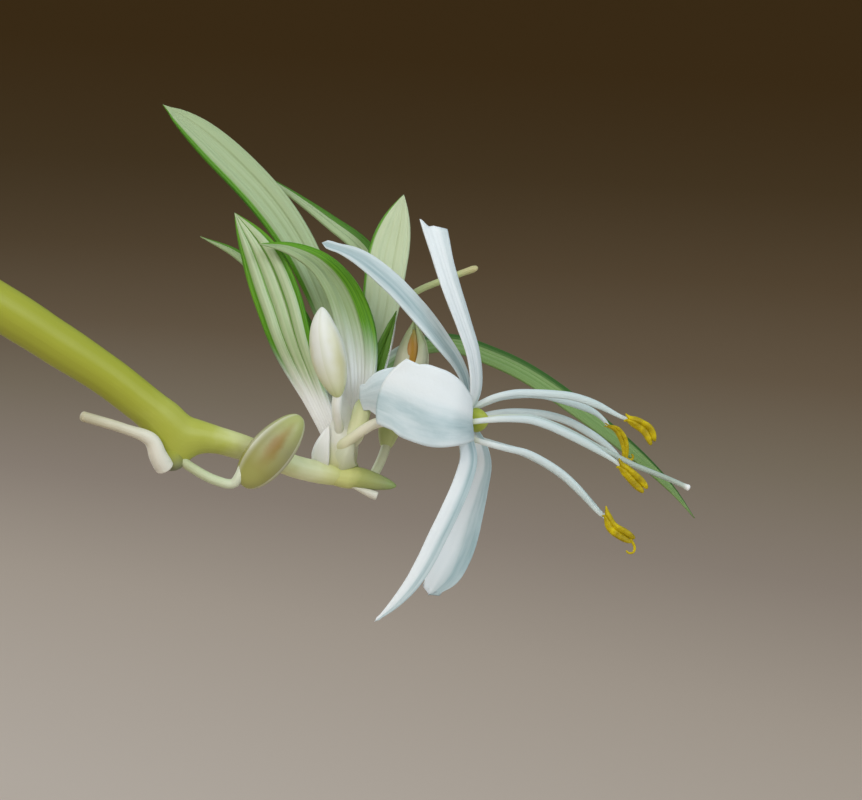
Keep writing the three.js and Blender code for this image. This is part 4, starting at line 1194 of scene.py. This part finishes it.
# Each tepal as seen, like a leaf. Its band of grey-blue, partly veins and partly painted shade, has a middle,
# a reach as a share of the width, and a strength. Its tip can be notched, bowed or ruffled, by shares of its
# length.
TEPALS = {
    "front": Tepal(
        (
            (1.8, -1.1, -0.3), (2.2, -1.08, -1.6), (1.5, -0.85, -2.7), (0.2, -0.47, -3.3),
            (-1.3, 0.1, -3.55), (-2.75, 0.75, -3.6),
        ),
        ((1, 0, 0), (-0.2, -1, 0.1)), 4.3, 0.1, 0.004, (0.74, 0.4, 0.8),
        {"foot": 0.37, "shoulder": 0.65, "blunt": 5, "tip": 0.9, "round": 0}, bowed=0.085,
    ),
    "upper_left": Tepal(
        (
            (1.8, -0.8, -0.1), (1.9, 0.8, -0.3), (1.5, 1.9, -0.5), (0.5, 3.3, -0.9), (-0.7, 4.8, -1.3),
            (-2.3, 6.5, -1.8), (-4.1, 7.9, -2.2), (-6, 8.65, -2.6),
        ),
        ((0.8, -0.7, 0), (0.2, -0.9, 0.4)), 1.3, 0.2, 0.008, (0.5, 0.68, 1),
        {"shoulder": 0.5, "blunt": 3.4, "tip": 0.42, "round": 0.04},
    ),
    "upright": Tepal(
        (
            (1.85, -0.9, -0.3), (2.4, 0.5, -0.8), (2.3, 2.4, -1.2), (1.75, 4.2, -1.5), (1.1, 6.1, -1.75),
            (0.5, 8.1, -1.9), (0, 10.1, -2),
        ),
        ((1, -0.4, 0), (0.45, -0.9, 0.1)), 1.25, 0.12, 0.01, (0.06, 0.34, 0.5),
        {"foot": 1, "shoulder": 0.8, "blunt": 8, "tip": 1, "flare": 0.22, "round": 0},
        notch=0.045,
    ),
    "lower_left": Tepal(
        (
            (1.75, -1.3, -0.3), (1.9, -2.2, -0.7), (2.05, -3.2, -1), (1.72, -4.5, -1.3),
            (0.95, -6.27, -1.7), (0.3, -7.6, -1.9), (-0.3, -8.83, -2), (-1.1, -10.15, -2.1),
            (-2.1, -11.3, -2.15), (-3.12, -12.2, -2.2),
        ),
        ((0.5, -0.9, 0), (0.1, -1, 0.1)), 1.08, 0.12, 0.006, (0.82, 0.42, 0.9),
        {"foot": 0.8, "shoulder": 0.25, "blunt": 4, "tip": 0.2, "round": 0.03},
    ),
    "lower_right": Tepal(
        (
            (1.9, -1.3, 0.2), (2.6, -2.3, 0.6), (2.82, -3.5, 0.7), (2.42, -4.9, 0.7), (1.92, -6.3, 0.7),
            (1.3, -8, 0.5), (0.5, -9.6, 0.1), (-0.15, -10.75, -0.1),
        ),
        ((0.3, -0.9, 0), (-0.1, -1, 0)), 2.3, 0.06, 0.008, (0.84, 0.36, 0.95),
        {"foot": 0.28, "shoulder": 0.78, "blunt": 3, "tip": 0.5, "round": 0.03}, ruffled=0.014,
    ),
    "back": Tepal(
        (
            (1.8, -1, 0.3), (1.5, -0.3, 0.9), (0.6, 0.3, 0.5), (-0.9, 0.4, -0.6), (-2.6, 0.3, -1.3),
            (-3.95, 0.1, -1.6),
        ),
        ((1, 0, 0), (0.1, 1, 0.1)), 2.9, 0.12, 0.008, (0.5, 0.8, 0.52),
        {"shoulder": 0.6, "blunt": 4, "tip": 0.5, "round": 0.03},
    ),
}

SEAT = ((0.9, -1.1, 0), (1.4, -1.1, 0), (1.9, -1.1, 0), (2.2, -1.1, 0))
FLOWER_STALK = (
    (-5, -2.7, -0.8), (-4.6, -2.3, -1.5), (-3.65, -1.6, -1.5), (-2.8, -1.22, -0.9), (-0.6, -1.15, -0.2),
    (1.4, -1.1, 0),
)

# Each stamen as seen: its filament, its anther's line from the filament on, and the anther's radius.
STAMENS = (
    (
        (
            (1.85, -0.55, 0.1), (2.6, -0.25, 0.1), (3.4, 0.12, 0.1), (4.6, 0.38, 0.1), (5.6, 0.38, 0.1),
            (6.9, 0.3, 0.1), (7.8, 0.18, 0.1), (9.1, -0.25, 0.1), (10.5, -0.95, 0.1),
        ),
        ((10.85, -1.05, -0.2), (11.45, -1.32, -0.3), (11.93, -1.7, -0.3), (12.22, -2.4, -0.3)),
        0.29,
    ),
    (
        (
            (1.85, -0.6, 0.8), (2.6, -0.34, 0.95), (3.8, 0.12, 1.15), (5.1, 0.3, 1.35), (6.2, 0.25, 1.5),
            (7.2, 0, 1.6), (8.3, -0.36, 1.65), (9.1, -0.75, 1.65), (9.55, -1.15, 1.65),
        ),
        (
            (9.75, -1.43, 1.25), (10.2, -1.6, 1.2), (10.58, -2.2, 1.2), (10.68, -2.8, 1.2),
            (10.6, -3.45, 1.2),
        ),
        0.18,
    ),
    (
        (
            (1.85, -1.2, 0.95), (3, -0.83, 1.4), (4.2, -0.66, 1.8), (5.5, -0.7, 2.2), (6.5, -0.85, 2.4),
            (7.6, -1.2, 2.6), (8.6, -1.75, 2.7), (9.5, -2.36, 2.75), (10.2, -3, 2.75),
        ),
        ((10.7, -3.75, 2.35), (11.15, -4.15, 2.3), (11.65, -4.65, 2.3)), 0.2,
    ),
    (
        (
            (1.85, -1.25, -1), (3.35, -1.09, -1.3), (4.6, -1.05, -1.45), (5.5, -1.13, -1.5),
            (6.5, -1.44, -1.55), (7.55, -1.92, -1.6), (8.6, -2.45, -1.6), (10, -3.3, -1.65),
        ),
        ((10.42, -3.62, -1.95), (10.92, -4.06, -2), (11.4, -4.55, -2), (11.8, -5, -2)),
        0.3,
    ),
    (
        (
            (1.85, -2, -0.4), (2.95, -2.36, -0.6), (4.15, -2.67, -0.8), (5.2, -2.91, -0.9),
            (6.35, -3.5, -1), (7.3, -4.16, -1), (8.25, -5.08, -1), (9.35, -6.3, -1),
        ),
        ((9.62, -6.3, -1.35), (9.97, -6.98, -1.4), (10.52, -7.37, -1.4), (11.12, -7.74, -1.4)),
        0.29,
    ),
    (
        ((1.85, -1.9, 0.6), (3.6, -2.45, 1.3), (5.4, -3.05, 1.8), (7.3, -4.2, 2), (9.5, -6.4, 2)),
        ((9.75, -6.65, 1.65), (10.3, -7.2, 1.6), (10.85, -7.6, 1.6)), 0.18,
    ),
)
# The tails of two anthers curl into a hook.
HOOKS = {
    2: (
        (10.7, -3.15, 1.2), (10.85, -3.28, 1.15), (11.03, -3.28, 1.15), (11.12, -3.1, 1.15),
        (11.02, -2.97, 1.15),
    ),
    5: (
        (10.95, -7.6, -1.4), (11.2, -8.1, -1.4), (11.12, -8.38, -1.4), (10.88, -8.42, -1.4),
        (10.72, -8.27, -1.4),
    ),
}
STYLE_SPINE = (
    (3.05, -1.05, 0), (4.6, -0.95, 0), (5.6, -1, 0), (6.7, -1.35, 0), (7.9, -1.9, 0), (9, -2.5, 0),
    (10.1, -3.05, 0), (11.1, -3.55, 0), (12.1, -3.95, 0), (13.2, -4.4, 0), (14.25, -4.87, 0),
)
WHITE_STOPS = ((0, "#f3f3cc"), (0.1, "#eef3f2"), (0.3, "#dfeaec"), (0.85, "#d7e4e3"), (1, "#e6eeec"))


class HOUSEPLANT_OT_flower(bpy.types.Operator):
    """Opens the flower: six tepals on their seat, its stalk and six filaments"""

    bl_idname = "houseplant.flower"
    bl_label = "Flower"

    def execute(self, context):
        white = tepal_finish()
        for i, (name, tepal) in enumerate(TEPALS.items()):

            def relief(s, u, turn=2 * i, ridges=tepal.ridges):
                return 0.05 * sin(9 * u + turn) * s * abs(s) + ridges * cos(5 * pi * s)

            def cut(s, tepal=tepal):
                dip = tepal.notch * (1 - smooth(s, 0.3, 1) + 0.7 * max(-s, 0))
                return dip + tepal.bowed * s * s + tepal.ruffled * (1 + sin(11 * s + 1) + s * s) / 2

            bm = new_bmesh(*TEPAL_NUMBERS)
            add_seen_blade(
                bm, tepal.spine, tepal.facing, tepal.width, {**TEPAL_EDGE, **tepal.edge}, along=48,
                across=24, fold=tepal.fold, relief=relief, cut=cut,
                **dict(zip(TEPAL_NUMBERS, (0.17 * i, *tepal.band))),
            )
            finish_piece("tepal_" + name, bm, white, "flower", settings().tepal_thickness)

        stops = ((0, "#e9e6c6"), (0.6, "#eceede"), (1, "#dfe4b0"))
        tube_piece(
            "flower_seat", SEAT, lambda u: mix(0.38, 1.1, smooth(u, 0, 0.75)) * rounded(u, 0.2),
            stalk_finish("flower seat", stops, through=0.2), "flower", "tepal", around=28, along=24,
            section=lambda angle, u: 1 + 0.04 * cos(6 * angle),
        )
        stops = ((0, "#e2e4b8"), (0.3, "#f5f0dc"), (1, "#f4f0e4"))
        tube_piece(
            "flower_stalk", FLOWER_STALK,
            lambda u: (0.27 + 0.12 * smooth(u, 0.2, 0) + 0.06 * u) * rounded(u, 0.04),
            stalk_finish("cream flower stalk", stops, through=0.2), "flower", "tepal", around=18, along=50,
        )
        thread = stalk_finish("white filament", WHITE_STOPS, through=0.3, mottle=0.06, grain=2200)
        for i, (filament, anther, _) in enumerate(STAMENS):
            tube_piece(
                f"filament_{i + 1}", (*filament, anther[0]),
                lambda u: mix(0.15, 0.22, smooth(u, 0, 0.55)) * (1 - 0.55 * smooth(u, 0.72, 1)),
                thread, "flower", "tepal", around=18, along=60,
                section=lambda angle, u: (0.88 + 0.12 * cos(2 * angle)) * (1 + 0.04 * cos(5 * angle)),
                normal=TO_EYE.cross(seen_way((1, 0, 0))),
            )
        return {"FINISHED"}


class HOUSEPLANT_OT_pistil(bpy.types.Operator):
    """Adds the three-lobed ovary and the long style with its pale stigma"""

    bl_idname = "houseplant.pistil"
    bl_label = "Ovary and style"

    def execute(self, context):
        stops = ((0, "#c2c85a"), (0.5, "#a8b43a"), (1, "#b9bf52"))
        tube_piece(
            "ovary_body", ((1.8, -1.1, 0), (2.3, -1.1, 0), (2.8, -1.1, 0), (3.2, -1.08, 0)),
            lambda u: 0.68 * sin(pi * min(max(u, 0), 1)) ** 0.6, stalk_finish("yellow-green ovary", stops),
            "ovary", "ovary", around=36, along=28,
            section=lambda angle, u: 1 - 0.14 * (0.5 + 0.5 * cos(3 * angle)) ** 3, normal=TO_EYE,
        )
        stops = ((0, "#dfe5ce"), (0.2, "#c9d6d4"), (0.9, "#b5c4b8"), (0.965, "#c8d2c8"), (0.985, "#ffffff"))
        finish = stalk_finish("white style", stops, through=0.3, mottle=0.05)
        thick = lambda u: (mix(0.2, 0.14, u) + 0.05 * smooth(u, 0.97, 1)) * rounded(u, 0.012)
        tube_piece("style_body", STYLE_SPINE, thick, finish, "style", "tepal", along=80)
        return {"FINISHED"}


class HOUSEPLANT_OT_anthers(bpy.types.Operator):
    """Sets a golden anther of two sacs on the end of each filament"""

    bl_idname = "houseplant.anthers"
    bl_label = "Anthers"

    def execute(self, context):
        gold = pollen_sac()
        for i, (_, line, radius) in enumerate(STAMENS):
            path = seen_line(line)
            way = (path[-1] - path[0]).normalized()
            sideways = way.cross(TO_EYE).normalized()
            back = (path[0] - path[1]).normalized()
            bm = new_bmesh()
            for side, horn in ((-1, 0.35), (1, 0.1)):
                shift = sideways * (side * 0.5 * radius * MM)
                sac = [p + shift * (0.7 + 0.3 * k if k < 3 else 1) for k, p in enumerate(path)]
                add_tube(
                    bm,
                    [path[0] + back * horn * MM + shift * 1.6, *sac],
                    lambda u, radius=radius: 0.66 * radius * smooth(u, -0.12, 0.3) * (1 - u**9) ** 0.5,
                    around=28, along=48,
                    section=lambda angle, u: 1 + 0.08 * cos(3 * angle + 5 * u),
                )
            for vert in bm.verts:
                vert.co += noise.noise_vector(vert.co * 2200) * 0.014 * MM
            if i + 1 in HOOKS:
                thin = lambda u: 0.09 * (1 - 0.4 * u) * rounded(u, 0.08)
                add_tube(bm, seen_line(HOOKS[i + 1]), thin, around=12, along=24)
            closed(bm)
            finish_piece(f"anther_{i + 1}_sacs", bm, gold, f"anther_{i + 1}")
        return {"FINISHED"}


# ------------------------------------------------------------------ stage

# The middle of the paper's painted pool of light, set off towards the key lamp's side.
PAINTED_LIGHT_MIDDLE = (-1.4, -0.4, 0)  # where the paper is palest, in metres
# The paper's radius and height from its middle to its rim, in millimetres.
PAPER_PROFILE = ((0, 0), (1900, 0), (2600, 90), (3200, 320), (3700, 700), (4100, 1250), (4300, 1800))
PAPER_DROP = 0.0002  # how far the paper lies under the pot's foot, in metres
# Each lamp: its place, the spot it looks at, its disc's width, its power and its colour.
SPRIG_SPOT, PLANT_SPOT = SPRIG_MIDDLE * MM, (0.05, 0, 0.09)
LAMPS = {
    "key": ((-0.32, -0.58, 0.62), SPRIG_SPOT, 0.8, 5.5, "#fffaf6"),
    "fill": ((0.72, -0.8, 0.58), SPRIG_SPOT, 0.6, 5.2, "#e4f4ff"),
    "rim": ((-0.35, 0.75, 0.55), PLANT_SPOT, 0.6, 3.6, "#f2f6ff"),
}
SKY_COLOUR, SKY_STRENGTH = "#d6e6e8", 0.5


def aim(made, place, goal):
    """Stands a lamp or a camera at a place and turns it towards its goal."""
    made.location = place
    made.rotation_euler = (goal - place).to_track_quat("-Z", "Y").to_euler()


def add_lamp(name, place, goal, size, power, colour):
    """Adds a soft round lamp that the camera doesn't see."""
    lamp = bpy.data.lights.new(name, "AREA")
    lamp.shape, lamp.size, lamp.energy, lamp.color = "DISK", size, power, linear(colour)[:3]
    made = add_object(name, lamp)
    aim(made, Vector(place), Vector(goal))
    made.visible_camera = False


class HOUSEPLANT_OT_stage(bpy.types.Operator):
    """Sets the camera in front of the flowering tip, the pale paper floor and soft studio light"""

    bl_idname = "houseplant.stage"
    bl_label = "Studio"

    def execute(self, context):
        camera = bpy.data.cameras.new("camera")
        made = add_object("camera", camera)
        aim(made, seen((0, 0, -EYE_DISTANCE)), seen((0, 0, 0)))
        camera.sensor_width = 36
        camera.lens = camera.sensor_width * EYE_DISTANCE * MM / settings().picture_width
        camera.clip_start, camera.clip_end = 0.005, 60
        bpy.context.scene.camera = made

        bm = spun(eased(PAPER_PROFILE, corners=range(1, 6), radius=500, pieces=8), steps=96)
        bmesh.ops.translate(bm, verts=bm.verts, vec=(0, 0, -PAPER_DROP))
        floor = mesh_object("paper_floor", bm, paper_with_painted_light())

        for name, lamp in LAMPS.items():
            add_lamp(name, *lamp)
        world = bpy.data.worlds.new("studio")
        bpy.context.scene.world = world
        world.use_nodes = True
        back = world.node_tree.nodes["Background"]
        back.inputs["Color"].default_value = linear(SKY_COLOUR)
        back.inputs["Strength"].default_value = SKY_STRENGTH
        bpy.context.scene.view_settings.view_transform = "Standard"
        return {"FINISHED"}


class HOUSEPLANT_PT_panel(bpy.types.Panel):
    """Lists the plant's settings and its pieces"""

    bl_idname = "HOUSEPLANT_PT_panel"
    bl_label = "Spider plant"
    bl_space_type = "VIEW_3D"
    bl_region_type = "UI"
    bl_category = "Spider plant"

    def draw(self, context):
        column = self.layout.column()
        for group in (settings(), colours()):
            for name in group.__annotations__:
                column.prop(group, name)
        for operator in OPERATORS:
            column.operator(operator.bl_idname)


OPERATORS = (
    HOUSEPLANT_OT_stage, HOUSEPLANT_OT_pot, HOUSEPLANT_OT_compost, HOUSEPLANT_OT_rosette,
    HOUSEPLANT_OT_runner, HOUSEPLANT_OT_small_stalks, HOUSEPLANT_OT_plantlet, HOUSEPLANT_OT_buds,
    HOUSEPLANT_OT_flower, HOUSEPLANT_OT_pistil, HOUSEPLANT_OT_anthers,
)
GROUPS = (SpiderPlantSettings, SpiderPlantColours)


def register():
    for made in (*GROUPS, *OPERATORS, HOUSEPLANT_PT_panel):
        bpy.utils.register_class(made)
    bpy.types.Scene.spider_plant_settings = bpy.props.PointerProperty(type=SpiderPlantSettings)
    bpy.types.Scene.spider_plant_colours = bpy.props.PointerProperty(type=SpiderPlantColours)


def unregister():
    del bpy.types.Scene.spider_plant_settings
    del bpy.types.Scene.spider_plant_colours
    for made in reversed((*GROUPS, *OPERATORS, HOUSEPLANT_PT_panel)):
        bpy.utils.unregister_class(made)


def main():
    register()
    for operator in OPERATORS:
        family, name = operator.bl_idname.split(".")
        getattr(getattr(bpy.ops, family), name)()


if __name__ == "__main__":
    main()
